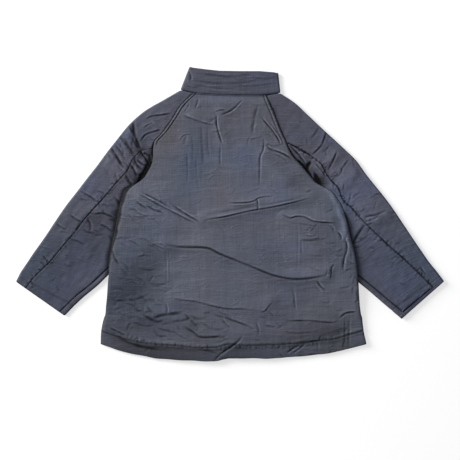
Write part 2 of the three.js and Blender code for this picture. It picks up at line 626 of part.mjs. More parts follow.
function collarFoot({ foot, half }) {
  if (Array.isArray(foot)) return flat(foot);
  if (half === "front") return new THREE.Vector2(foot, frontNeck(foot));
  const shoulder = sectionAt(nearSide(foot), NECK);
  const beyondBack = Math.abs(foot) > Math.abs(shoulder.above.x);
  const share = (foot - shoulder.above.x) / (shoulder.outer.x - shoulder.above.x);
  return new THREE.Vector2(foot, beyondBack ? mix(shoulder.above.y, shoulder.outer.y, share) : backNeck(foot));
}
function makeCollar() {
  const grid = [];
  COLLAR.forEach((station, i) => {
    const foot = collarFoot(station);
    const head = flat(station.head);
    const rise = head.clone().sub(foot).normalize();
    foot.addScaledVector(rise, COLLAR_CLEARANCE);
    const free = i === 0 || i === COLLAR.length - 1;
    const height = foot.distanceTo(head);
    const band = (shift, z, out) =>
      COLLAR_SHARES.map((share) => {
        const p = foot.clone().lerp(head, share).add(shift);
        const inward = free ? 0 : Math.min(share, 1 - share) * height;
        return { at: new THREE.Vector3(p.x, p.y, z), out, thick: thicknessAt(inward) };
      });
    if (!station.half.endsWith("fold")) {
      grid.push(band(new THREE.Vector2(), station.level, station.half === "back" ? UP : UP.clone().negate()));
      return;
    }
    // A half turn between the layers round the slanted edge at the side of the neck.
    const sign = station.half.startsWith("left") ? -1 : 1;
    const side = new THREE.Vector2(rise.y, -rise.x).multiplyScalar(sign);
    for (let k = 0; k <= COLLAR_FOLD_STEPS; k++) {
      const turn = -sign * (Math.PI * (k / COLLAR_FOLD_STEPS) - TOP);
      const level = new THREE.Vector3(side.x, side.y, 0);
      const out = level.multiplyScalar(Math.cos(turn)).addScaledVector(UP, Math.sin(turn));
      const shift = side.clone().multiplyScalar(FOLD_RADIUS * Math.cos(turn) - FOLD_EDGE);
      grid.push(band(shift, (LOW + HIGH) / 2 + FOLD_RADIUS * Math.sin(turn), out));
    }
  });
  return wall("collar", oriented(grid, false));
}

// ---- The coat ----
const coat = new THREE.Group();
coat.name = "coat";
coat.add(makeBack(), makeFront("left"), makeFront("right"));
for (const side of Object.keys(SIDES)) coat.add(makeOverSleeve(side), makeUnderSleeve(side));
coat.add(makeCollar());
// The frame's origin is the middle of the coat's outline, on the surface that it lies on.
const bounds = new THREE.Box3().setFromObject(coat);
coat.position.set(-(bounds.min.x + bounds.max.x) / 2, -(bounds.min.y + bounds.max.y) / 2, -bounds.min.z);
export default coat;
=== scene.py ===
"""A lightly padded jacket with raglan sleeves and a stand collar, laid out flat with its back upwards.

The pieces come in the order in which they are sewn on: the back first, with the cloth that all of them are
cut from, then the fronts under it, the sleeves and the collar. Lengths are in millimetres until a mesh is
made.
"""
import bpy
import numpy as np
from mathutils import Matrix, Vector


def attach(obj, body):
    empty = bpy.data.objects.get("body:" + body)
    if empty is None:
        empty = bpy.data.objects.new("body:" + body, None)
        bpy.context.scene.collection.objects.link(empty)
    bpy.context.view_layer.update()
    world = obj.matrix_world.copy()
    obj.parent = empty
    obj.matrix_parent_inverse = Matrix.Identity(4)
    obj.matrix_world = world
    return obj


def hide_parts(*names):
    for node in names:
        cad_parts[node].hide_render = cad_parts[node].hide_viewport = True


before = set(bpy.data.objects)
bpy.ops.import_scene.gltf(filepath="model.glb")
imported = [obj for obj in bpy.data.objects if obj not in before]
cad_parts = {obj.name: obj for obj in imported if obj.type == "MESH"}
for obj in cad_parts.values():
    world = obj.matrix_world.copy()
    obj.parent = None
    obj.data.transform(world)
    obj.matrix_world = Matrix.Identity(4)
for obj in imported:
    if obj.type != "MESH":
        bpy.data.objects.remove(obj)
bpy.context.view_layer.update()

MM = 0.001
scene = bpy.context.scene

# ---- Camera ----------------------------------------------------------------------------------------------
# Straight above the jacket, far off behind a long lens, with the collar at the top of the picture.
VIEW_WIDTH = 1196 * MM   # what the picture takes in at the jacket
VIEW_HEIGHT = 4.2
VIEW_MIDDLE = (-0.2 * MM, -41.9 * MM)
camera_data = bpy.data.cameras.new("camera")
camera_data.sensor_width = 36
camera_data.lens = camera_data.sensor_width * VIEW_HEIGHT / VIEW_WIDTH
camera = bpy.data.objects.new("camera", camera_data)
camera.location = (*VIEW_MIDDLE, VIEW_HEIGHT + 12 * MM)
scene.collection.objects.link(camera)
scene.camera = camera
scene.view_settings.view_transform = "Standard"

# ---- Floor and light -------------------------------------------------------------------------------------
# A plain pale floor, one broad soft light from the upper left and an even pale surround.
FLOOR_WIDTH = 14.0
FLOOR_LEVEL = -0.4 * MM
KEY_FROM = Vector((-3.25, 1.7, 1.8))
KEY_WIDTH = 2.2
KEY_POWER = 620.0
SURROUND = 0.74
FLOOR_GREY = 0.22
FLOOR_GLOW = 0.60
bpy.ops.object.select_all(action="DESELECT")
bpy.ops.mesh.primitive_plane_add(size=FLOOR_WIDTH, location=(0, 0, FLOOR_LEVEL))
floor = bpy.context.object
floor.name = "floor"
floor_paint = bpy.data.materials.new("pale_floor")
floor_paint.use_nodes = True
floor_shader = floor_paint.node_tree.nodes["Principled BSDF"]
floor_shader.inputs["Base Color"].default_value = (FLOOR_GREY, FLOOR_GREY, FLOOR_GREY, 1)
floor_shader.inputs["Emission Color"].default_value = (1, 1, 1, 1)
floor_shader.inputs["Emission Strength"].default_value = FLOOR_GLOW
floor_shader.inputs["Roughness"].default_value = 0.9
floor_shader.inputs["Specular IOR Level"].default_value = 0.0
floor.data.materials.append(floor_paint)

key_data = bpy.data.lights.new("key", "AREA")
key_data.size = KEY_WIDTH
key_data.energy = KEY_POWER
key = bpy.data.objects.new("key", key_data)
key.location = KEY_FROM
key.rotation_euler = (-KEY_FROM).to_track_quat("-Z", "Y").to_euler()
scene.collection.objects.link(key)

world = bpy.data.worlds.new("surround")
scene.world = world
world.use_nodes = True
world.node_tree.nodes["Background"].inputs["Color"].default_value = (0.98, 0.99, 1.0, 1)
world.node_tree.nodes["Background"].inputs["Strength"].default_value = SURROUND

# ---- Back ------------------------------------------------------------------------------------------------
# One piece from the neck seam to the hem, shell and lining with light wadding between them.
# It is sewn to the sleeves along the raglan seams and to the fronts down the sides, and its hem is turned up.
CLOTH = 5.0              # with its wadding
LAYER = CLOTH + 0.3      # one cloth to the next
LOW = CLOTH / 2          # height of the lowest cloth's middle
HIGH = LOW + LAYER
FOLD_RADIUS = LAYER / 2
FOLD_EDGE = FOLD_RADIUS + CLOTH / 2
SEAM_GAP = 0.3
FRAME_SHIFT = (-1.54, -0.32)   # from these sizes' zero to the frame's
HEM_CORNER = -339
HEM_DEPTH = 35
DROOP, LESS_DROOP, DROOP_STEP = 44, 7, 40   # how far the hem hangs below its corners, and less to the right
DROOP_HOLDS, DROOP_ENDS = 60, 190           # above the corners
RAGLAN_FOOT, RAGLAN_UNDER = 184, 148        # the body starts to climb on the sleeve and is fully on it
UNDERARM_TOP, UNDERARM = 24, -36            # the fronts climb on it too, under the back
NECK_BOW = 2.0
OVERLAP, OVERLAP_FOOT = 40, 74
RAMP_TOP, RAMP_FOOT = 5, 49            # the climb, in from the sleeve's inner edge
SIDES = {"left": -1, "right": 1}
BODY_COLOUR = (0.0410, 0.0434, 0.0546)
STITCH_WIDTH, STITCH_DEPTH = 2.2, 2.2
ALLOWANCE, ALLOWANCE_RIDGE = 8.5, 4.5   # from a raglan seam to its stitched row and to the ridge between them

def smooth(a, b, x):
    t = np.clip((np.asarray(x, float) - a) / (b - a), 0, 1)
    return t * t * (3 - 2 * t)

def through(points, each=8):
    """Points on a smooth curve through the given ones, each steps from one to the next."""
    p = np.asarray(points, float)
    p = np.vstack([2 * p[0] - p[1], p, 2 * p[-1] - p[-2]])
    t = np.linspace(0, 1, each, endpoint=False)[:, None]
    spans = [0.5 * (2 * b + (c - a) * t + (2 * a - 5 * b + 4 * c - d) * t ** 2
                    + (3 * b - a - 3 * c + d) * t ** 3)
             for a, b, c, d in zip(p[:-3], p[1:-2], p[2:-1], p[3:])]
    return np.vstack([*spans, p[-2:-1]])

def at_row(points, row):
    """Where a smooth curve through the given points is at a row number, whole at each point."""
    curve = through(points, 16)
    numbers = np.linspace(0, len(points) - 1, len(curve))
    return np.stack([np.interp(row, numbers, curve[:, k]) for k in range(curve.shape[1])], -1)

def from_line(line, x, y):
    """Signed distance from a line, positive to its left, and how far along it, from 0 to 1."""
    best = np.full(x.shape, 1e9)
    side = np.ones(x.shape)
    along = np.zeros(x.shape)
    lengths = np.hypot(*np.diff(line, axis=0).T)
    total = lengths.sum()
    passed = 0.0
    for (ax, ay), (bx, by), length in zip(line[:-1], line[1:], lengths):
        dx, dy = bx - ax, by - ay
        t = np.clip(((x - ax) * dx + (y - ay) * dy) / (length ** 2 + 1e-9), 0, 1)
        away = np.hypot(x - ax - dx * t, y - ay - dy * t)
        near = away < best
        best[near] = away[near]
        side[near] = np.where(dx * (y - ay) - dy * (x - ax) > 0, 1, -1)[near]
        along[near] = ((passed + t * length) / total)[near]
        passed += length
    return best * side, along

def uneven(x, y, wide, tall, seed):
    """Smooth random height from -1 to 1 with humps about wide across and tall along."""
    lattice = np.random.default_rng(seed).uniform(-1, 1, (64, 64))
    u, v = x / wide + 500, y / tall + 500
    i, j = np.floor(u).astype(int), np.floor(v).astype(int)
    f, g = smooth(0, 1, u - i), smooth(0, 1, v - j)
    pick = lambda a, b: lattice[a % 64, b % 64]
    low = pick(i, j) * (1 - f) + pick(i + 1, j) * f
    high = pick(i, j + 1) * (1 - f) + pick(i + 1, j + 1) * f
    return low * (1 - g) + high * g

def rumpled(x, y, *humps):
    """The sum of uneven heights, each given as high, wide, tall and seed."""
    return sum(high * uneven(x, y, wide, tall, seed) for high, wide, tall, seed in humps)

CREASE_WIDTH = 0.88      # of the width in a table
CREASE_ROLL = 0.7        # of the roll in a table
CREASE_REACH = 22        # in widths, beyond which a crease adds nothing
# A deep crease's cleft is painted with shade, and a high roll gets a highlight painted along its crest.
DARK_DEPTH = 1.8         # a crease this deep has a fully dark cleft
HIGHLIGHT_ROLL = 1.3          # and one that rolls up this high a fully pale crest

def creased(creases, x, y):
    """The height that a table of creases adds, and how much shade is painted into the cleft of each, below 0
    along its crest, where a highlight is painted. Cloth pushed together rolls up along one side and drops
    steeply at the crease. A row is deep, roll, wide, side, 1 for the roll to the left of the path, and the
    path, with how strong the painted highlight on its crest is if that isn't by width."""
    height, dark, pale = np.zeros(x.shape), np.zeros(x.shape), np.zeros(x.shape)
    for n, (deep, roll, wide, side, path, *painted_highlight) in enumerate(creases):
        line = through(path, 5)
        w = CREASE_WIDTH * wide
        roll = CREASE_ROLL * roll
        reach = CREASE_REACH * w
        near = ((x > line[:, 0].min() - reach) & (x < line[:, 0].max() + reach)
                & (y > line[:, 1].min() - reach) & (y < line[:, 1].max() + reach))
        if not near.any():
            continue
        d, s = from_line(line, x[near], y[near])
        d = d * side
        taper = np.clip(np.minimum(s / 0.2, (1 - s) / 0.25), 0, 1) ** 0.7
        taper *= 1 + 0.2 * np.sin(9.3 * s + 2.1 * n) + 0.12 * np.sin(23 * s + n)
        bank = smooth(-0.8 * w, 1.1 * w, d) * np.exp(-np.clip(d - w, 0, None) / (3.2 * w))
        lip = 0.35 * np.exp(-((d + 2.6 * w) / (1.5 * w)) ** 2)
        cleft = np.exp(-(d / w) ** 2)
        height[near] += (roll * (bank + lip) - deep * cleft) * taper
        sunk = np.clip((deep / DARK_DEPTH) ** 1.4, 0, 1.15) * taper
        dark[near] = np.maximum(dark[near], sunk * np.exp(-((d + 0.2 * w) / (0.9 * w)) ** 2))
        crest = (painted_highlight[0] if painted_highlight else smooth(3.4, 2.3, wide)) * np.clip(roll / HIGHLIGHT_ROLL, 0, 1)
        pale[near] = np.maximum(pale[near], crest * taper * np.exp(-((d - 1.7 * w) / (0.8 * w)) ** 2))
    return height, dark - pale * (1 - np.clip(dark, 0, 1))

# How strong the highlight painted on the crests of strewn creases and of puckers is.
STREWN_HIGHLIGHT, PUCKER_HIGHLIGHT = 0.4, 0.15

def scattered(count, seed, zone, heading, swing, length, deep):
    """Small creases strewn over a zone (left, right, low, high): heading and swing in degrees, length and
    deep as their least and most."""
    random = np.random.default_rng(seed)
    rows = []
    for _ in range(count):
        at = np.array([random.uniform(*zone[:2]), random.uniform(*zone[2:])])
        turn = np.radians(heading + swing * random.normal())
        half = random.uniform(*length) / 2
        way = np.array([np.cos(turn), np.sin(turn)])
        bend = np.array([-way[1], way[0]]) * half * random.uniform(-0.35, 0.35)
        sunk = random.uniform(*deep)
        rows.append((sunk, sunk, random.uniform(2.1, 3.2), random.choice([1, 1, 1, -1]),
                     [at - way * half, at + bend, at + way * half], STREWN_HIGHLIGHT))
    return rows

def puckered(line, seed, every=10, length=(6, 16), deep=(0.6, 1.6)):
    """Short puckers across a line of sewing, at uneven distances along it."""
    random = np.random.default_rng(seed)
    line = through(line, 6)
    lengths = np.hypot(*np.diff(line, axis=0).T)
    reached = np.concatenate([[0], np.cumsum(lengths)])
    at, rows = every, []
    while at < reached[-1] - every:
        k = min(np.searchsorted(reached, at) - 1, len(lengths) - 1)
        way = (line[k + 1] - line[k]) / lengths[k]
        place = line[k] + way * (at - reached[k])
        turn = np.radians(random.uniform(55, 125))
        across = np.array([way[0] * np.cos(turn) - way[1] * np.sin(turn),
                           way[0] * np.sin(turn) + way[1] * np.cos(turn)])
        half = random.uniform(*length) / 2
        middle = place + across * half * random.uniform(-0.9, 0.9)
        bend = way * half * random.uniform(-0.3, 0.3)
        sunk = random.uniform(*deep)
        rows.append((sunk, sunk, random.uniform(1.9, 2.6), random.choice([1, -1]),
                     [middle - across * half, middle + bend, middle + across * half], PUCKER_HIGHLIGHT))
        at += every * random.uniform(0.4, 1.7)
    return rows

def ridged(folds, x, y):
    """Height of a table of broad soft folds: high, wide and path."""
    height = np.zeros(x.shape)
    for high, wide, path in folds:
        away, _ = from_line(through(path, 6), x, y)
        height = np.maximum(height, high * np.exp(-(away / wide) ** 2))
    return height

EDGE_THICKNESS = 1.2
SEAM_ROUND, FRONT_ROUND, BACK_ROUND, COLLAR_ROUND = 4.5, 7.5, 9, 6.5   # widths over which the wadding thins

def puffed(inward, roll):
    """The cloth's thickness a distance in from an edge or seam, where its wadding rounds away."""
    t = np.clip(inward / roll, 0, 1)
    return EDGE_THICKNESS + (CLOTH - EDGE_THICKNESS) * np.sqrt(1 - (1 - t) ** 2)

def cloth_wall(stem, colour, middle, out, thick, relief, grain, shade, turned=False, coarse=3):
    """A closed wall of cloth from a grid of middle points, with relief on its outside. Its inner side has
    one row and column to every few of the outer's. It carries grain as its UV map and shade as an
    attribute. Turned grids run the other way round."""
    shade = tinted(shade, middle[..., 0], middle[..., 1])
    if turned:
        grids = middle, out, thick, relief, grain, shade
        middle, out, thick, relief, grain, shade = (g[:, ::-1] for g in grids)
    name = f"{stem}_cloth"
    shift = np.array([*FRAME_SHIFT, 0])
    rows, columns = thick.shape
    kept_rows = np.unique([*range(0, rows, coarse), rows - 1])
    kept_columns = np.unique([*range(0, columns, coarse), columns - 1])
    outer = middle + out * (thick / 2 + relief)[..., None] + shift
    inner = (middle - out * (thick / 2)[..., None] + shift)[np.ix_(kept_rows, kept_columns)]
    points = np.vstack([outer.reshape(-1, 3), inner.reshape(-1, 3)]) * MM
    grid = np.arange(rows * columns).reshape(rows, columns)
    low = rows * columns + np.arange(inner.shape[0] * inner.shape[1]).reshape(inner.shape[:2])

    def cells(g, turn):
        corners = [g[:-1, :-1], g[:-1, 1:], g[1:, 1:], g[1:, :-1]]
        return np.stack(corners[::turn], -1).reshape(-1, 4)
    quads = np.vstack([cells(grid, 1), cells(low, -1)])
    rim = []
    for fine, under, at, flip in ((grid[0], low[0], kept_columns, True),
                                  (grid[-1], low[-1], kept_columns, False),
                                  (grid[:, 0], low[:, 0], kept_rows, False),
                                  (grid[:, -1], low[:, -1], kept_rows, True)):
        for k in range(len(at) - 1):
            strip = [(fine[i], fine[i + 1], under[k]) for i in range(at[k], at[k + 1])]
            strip.append((fine[at[k + 1]], under[k + 1], under[k]))
            rim += [t[::-1] for t in strip] if flip else strip
    rim = np.array(rim)
    corners = np.concatenate([quads.ravel(), rim.ravel()]).astype(np.int32)
    sizes = np.concatenate([np.full(len(quads), 4), np.full(len(rim), 3)]).astype(np.int32)
    mesh = bpy.data.meshes.new(name)
    mesh.vertices.add(len(points))
    mesh.vertices.foreach_set("co", points.ravel())
    mesh.loops.add(len(corners))
    mesh.loops.foreach_set("vertex_index", corners)
    mesh.polygons.add(len(sizes))
    mesh.polygons.foreach_set("loop_start", np.concatenate([[0], np.cumsum(sizes)[:-1]]).astype(np.int32))
    mesh.polygons.foreach_set("loop_total", sizes)
    mesh.update(calc_edges=True)
    kept = np.ix_(kept_rows, kept_columns)
    both = lambda values: np.concatenate([values.reshape(rows * columns, -1),
                                          values[kept].reshape(low.size, -1)])
    uv = mesh.uv_layers.new(name="grain")
    uv.data.foreach_set("uv", (both(grain) * MM)[corners].ravel())
    tone = mesh.attributes.new("shade", "FLOAT_COLOR", "POINT")
    rgba = np.pad(both(shade), ((0, 0), (0, 1)), constant_values=1)
    tone.data.foreach_set("color", rgba.ravel().astype(np.float32))
    mesh.polygons.foreach_set("use_smooth", np.ones(len(sizes), bool))
    mesh.validate()
    piece = bpy.data.objects.new(name, mesh)
    scene.collection.objects.link(piece)
    piece.data.materials.append(woven(f"{stem}_weave", colour))
    return piece

class Value:
    """A shader value that ordinary signs do sums on."""
    def __init__(self, nodes, socket):
        self.nodes, self.socket = nodes, socket
    def sum(self, operation, a, b):
        node = self.nodes.new("ShaderNodeMath")
        node.operation = operation
        for slot, part in zip(node.inputs, (a, b)):
            if isinstance(part, Value):
                self.nodes.id_data.links.new(part.socket, slot)
            else:
                slot.default_value = part
        return Value(self.nodes, node.outputs[0])
    def __add__(self, other): return self.sum("ADD", self, other)
    def __radd__(self, other): return self.sum("ADD", other, self)
    def __sub__(self, other): return self.sum("SUBTRACT", self, other)
    def __mul__(self, other): return self.sum("MULTIPLY", self, other)
    def __rmul__(self, other): return self.sum("MULTIPLY", other, self)
    def __pow__(self, other): return self.sum("POWER", self, other)

def node(tree, kind, sets=(), **inputs):
    """A shader node with its properties set and its inputs, each a Value, a socket, a number or a colour."""
    made = tree.nodes.new("ShaderNode" + kind)
    for key, value in dict(sets).items():
        setattr(made, key, value)
    for key, value in inputs.items():
        slot = made.inputs[int(key[1:]) if key[0] == "_" else key.replace("_", " ")]
        if isinstance(value, Value):
            value = value.socket
        if isinstance(value, bpy.types.NodeSocket):
            tree.links.new(value, slot)
        else:
            slot.default_value = value
    return made

SLUB = 0.46              # how much paler or darker a thick or thin thread is

def woven(name, colour):
    """Fine plain-woven cloth with a low satin sheen: uneven threads both ways, a slow drift from a bluer to
    a greener and a redder slate, and the fine crumpling of cloth that has been packed."""
    paint = bpy.data.materials.new(name)
    paint.use_nodes = True
    tree = paint.node_tree
    shader = tree.nodes["Principled BSDF"]
    grain = node(tree, "UVMap", {"uv_map": "grain"}).outputs["UV"]
    vector = lambda operation, a, b: node(tree, "VectorMath", {"operation": operation}, _0=a, _1=b).outputs[0]
    def noise(across, along, detail, seed, rough=0.6):
        scaled = vector("MULTIPLY", grain, (across, along, 1))
        moved = vector("ADD", scaled, (seed, seed * 1.7, seed))
        made = node(tree, "TexNoise", {"noise_dimensions": "3D"}, Vector=moved, Scale=1.0, Detail=detail,
                    Roughness=rough)
        return Value(tree.nodes, made.outputs[0]) - 0.5
    warp = noise(420, 14, 2, 3.1)
    weft = noise(12, 380, 2, 7.7)
    fine = noise(320, 420, 2, 1.3, 0.8)
    slow = noise(9, 7, 3, 5.9)
    streak = noise(75, 4, 2, 21.3)
    hue = noise(7, 4, 1, 11.3) * 4 + 0.5
    crumple = noise(40, 85, 5, 2.9, 0.66)
    patchy = noise(14, 18, 1, 31.7) * 3 + 0.6
    bend = noise(7, 36, 2, 41.9, 0.5)
    turn = noise(10, 58, 2, 47.3, 0.5)
    crinkle = ((bend * bend * 9000 + 1) ** -1 + (turn * turn * 6000 + 1) ** -1 * 0.6) * patchy
    # The fine crinkles are also painted a little paler, a painted highlight along them.
    light = 1 + warp * SLUB + weft * SLUB + fine * 0.5 + slow * 0.20 + streak * 0.22 + crinkle * 0.10
    # The shade attribute brings each piece's painted shade and painted highlights into the colour.
    shade = node(tree, "Attribute", {"attribute_name": "shade"}).outputs["Color"]
    mixed = lambda share, a, b: node(tree, "Mix", {"data_type": "RGBA"}, _0=share, _6=a, _7=b).outputs[2]
    cold = mixed(hue, (0.97, 0.98, 0.99, 1), (0.95, 1.0, 1.14, 1))
    drift = mixed(noise(3, 9, 1, 17.9) * 4 + 0.5, cold, (1.01, 0.985, 1.0, 1))
    placed = vector("MULTIPLY", vector("MULTIPLY", drift, colour), shade)
    lit = node(tree, "VectorMath", {"operation": "SCALE"}, _0=placed, Scale=light).outputs[0]
    tree.links.new(lit, shader.inputs["Base Color"])
    tree.links.new((0.64 + slow * 0.16 + weft * 0.14).socket, shader.inputs["Roughness"])
    height = warp * 0.35 + weft * 0.45 + fine * 0.35 + crumple * 1.5 + crinkle * 0.8
    bump = node(tree, "Bump", Strength=0.7, Distance=0.0011, Height=height)
    tree.links.new(bump.outputs["Normal"], shader.inputs["Normal"])
    shader.inputs["Specular IOR Level"].default_value = 0.08
    shader.inputs["Sheen Weight"].default_value = 0.01
    shader.inputs["Sheen Roughness"].default_value = 0.5
    shader.inputs["Sheen Tint"].default_value = (0.75, 0.8, 1.0, 1)
    return paint

# The body's edge by height: side seams from the hem's corners, then the folds beside the armholes.
BODY_EDGE = np.array([  # height, left, right
    (HEM_CORNER, -334, 355), (-300, -331, 347), (-260, -324, 342), (-210, -318, 337), (-150, -314, 333),
    (-105, -311, 326), (-60, -301, 315), (-18, -292, 305), (24, -284, 291), (58, -273, 268), (70, -262, 247),
    (80, -239, 224), (94, -221, 214), (110, -212, 200), (128, -202, 186), (146, -199, 167), (169, -199, 153),
    (188, -196, 147)])

def body_edge(side, y):
    column = {"left": 1, "right": 2}[side]
    spread = np.linspace(-6, 6, 5)
    edge = np.mean([np.interp(y + s, BODY_EDGE[:, 0], BODY_EDGE[:, column]) for s in spread], 0)
    # the turned-up hem stands out a little, and the side seam is drawn up unevenly
    uneven_seam = 0.9 * uneven(0 * edge, y + 0 * edge, 40, 26, 63 + column) * smooth(-30, -90, y)
    return edge + SIDES[side] * (2.2 * smooth(-258, -268, y) + uneven_seam)

# Sleeve sections from the neck to the cuff: the fold along the arm's top, and where the upper and the lower
# layer end at the raglan seams; from the armpit on both meet in the underarm fold.
SLEEVES = {
    "left": {
        "outer": [(-128, 322), (-175, 295), (-221, 268), (-260, 234), (-297, 189), (-322, 157), (-344, 127),
                  (-370, 94), (-396, 60), (-421, 28), (-445, -6), (-468, -41), (-490, -73), (-510, -101),
                  (-528, -128), (-544, -152), (-556, -176)],
        "above": [(-95, 314), (-126, 283), (-147, 250), (-173, 213), (-196, 188), (-201, 158), (-194, 128),
                  (-199, 80), (-206, 40)],
        "below": [(-109, 265), (-128, 250), (-150, 232), (-172, 208), (-188, 184), (-190, 155), (-193, 126),
                  (-199, 80), (-206, 40)],
        "inner": [(-213, 0), (-222, -45), (-242, -88), (-272, -120), (-306, -150), (-343, -186),
                  (-386, -222), (-429, -265)],
        "seam": [(-197, 172), (-225, 166), (-246, 149), (-256, 133), (-268, 109), (-291, 85), (-326, 43),
                 (-372, -8), (-406, -52), (-433, -83), (-467, -124), (-509, -166), (-530, -194)],
    },
    "right": {
        "outer": [(133, 314), (169, 290), (206, 256), (243, 221), (279, 188), (305, 164), (331, 138),
                  (357, 102), (381, 72), (406, 41), (430, 8), (454, -28), (478, -64), (499, -95),
                  (520, -125), (541, -151), (559, -175)],
        "above": [(97, 308), (106, 285), (116, 262), (132, 221), (147, 188), (159, 163), (164, 138),
                  (180, 94), (198, 48)],
        "below": [(114, 264), (130, 246), (144, 226), (156, 206), (166, 184), (168, 158), (171, 130),
                  (180, 94), (198, 48)],
        "inner": [(211, 0), (224, -48), (248, -96), (281, -132), (318, -164), (358, -196), (402, -234),
                  (448, -273)],
        "seam": [(146, 185), (168, 178), (190, 166), (212, 151), (238, 131), (248, 112), (261, 92),
                 (284, 66), (296, 37), (321, 13), (346, -16), (416, -83), (458, -120), (530, -190)],
    },
}
NECK, BODY_CORNER, ARMPIT, CUFF = 0, 4, 9, 16   # the sections' numbers at the sleeve's landmarks

def section_end(side, key, row):
    return at_row(SLEEVES[side][key] + SLEEVES[side]["inner"], row)

def sleeve_edge(side, y):
    """Where the sleeve's inner edge lies across the body at a height."""
    ends = section_end(side, "below", np.arange(BODY_CORNER, CUFF + 0.1, 0.25))[::-1]
    return np.interp(y, ends[:, 1], ends[:, 0])

def over_sleeve_share(x, y, foot=RAMP_FOOT):
    left = 1 - smooth(RAMP_TOP, foot, x - sleeve_edge("left", y))
    right = 1 - smooth(RAMP_TOP, foot, sleeve_edge("right", y) - x)
    return np.where(x < 0, left, right)

def back_lift(x, y):
    climbing = smooth(RAGLAN_FOOT, RAGLAN_UNDER, y) + smooth(UNDERARM_TOP, UNDERARM, y)
    over_fronts = LAYER * (1 - smooth(OVERLAP, 3 * OVERLAP_FOOT, np.abs(x)))
    return LAYER * over_sleeve_share(x, y, 2.7 * RAMP_FOOT) * climbing + over_fronts

def hem_bow(x, y):
    edge = np.where(x < 0, BODY_EDGE[0, 1], BODY_EDGE[0, 2])
    droop = DROOP - LESS_DROOP * smooth(-DROOP_STEP, 0, x)
    held = smooth(HEM_CORNER + DROOP_HOLDS, HEM_CORNER + DROOP_ENDS, y)
    return -droop * (1 - np.abs(x / edge) ** 3) * (1 - held)

def back_grid(rows_below, rows_above, columns):
    """Places on the back, row by row from the hem to the neck, and each row's height below the raglans."""
    levels = np.concatenate([HEM_CORNER + np.array([0, 0.6, 1.6, 3]),
                             np.linspace(HEM_CORNER + 5, RAGLAN_FOOT, rows_below)])
    share = np.linspace(0, 1, columns)
    share = np.concatenate([[0, 0.0012, 0.003], share[1:-1], [0.997, 0.9988, 1]])[None, :]
    y = np.repeat(levels[:, None], share.size, 1)
    left, right = (body_edge(side, levels)[:, None] - sign * SEAM_GAP / 2 for side, sign in SIDES.items())
    x = left + (right - left) * share
    y = y + hem_bow(x, y)
    steps = np.concatenate([np.linspace(BODY_CORNER, NECK, rows_above)[1:-1], [0.09, 0.04, 0.015, 0]])
    a, b = (section_end(side, "above", steps) for side in SIDES)
    bow = NECK_BOW * ((1 - steps / BODY_CORNER) ** 2)[:, None] * np.sin(np.pi * share)
    x_up = a[:, :1] + (b[:, :1] - a[:, :1]) * share
    y_up = a[:, 1:] + (b[:, 1:] - a[:, 1:]) * share - bow
    level = np.vstack([np.repeat(levels[:, None], share.size, 1), np.full(x_up.shape, RAGLAN_FOOT + 1.0)])
    return np.vstack([x, x_up]), np.vstack([y, y_up]), level

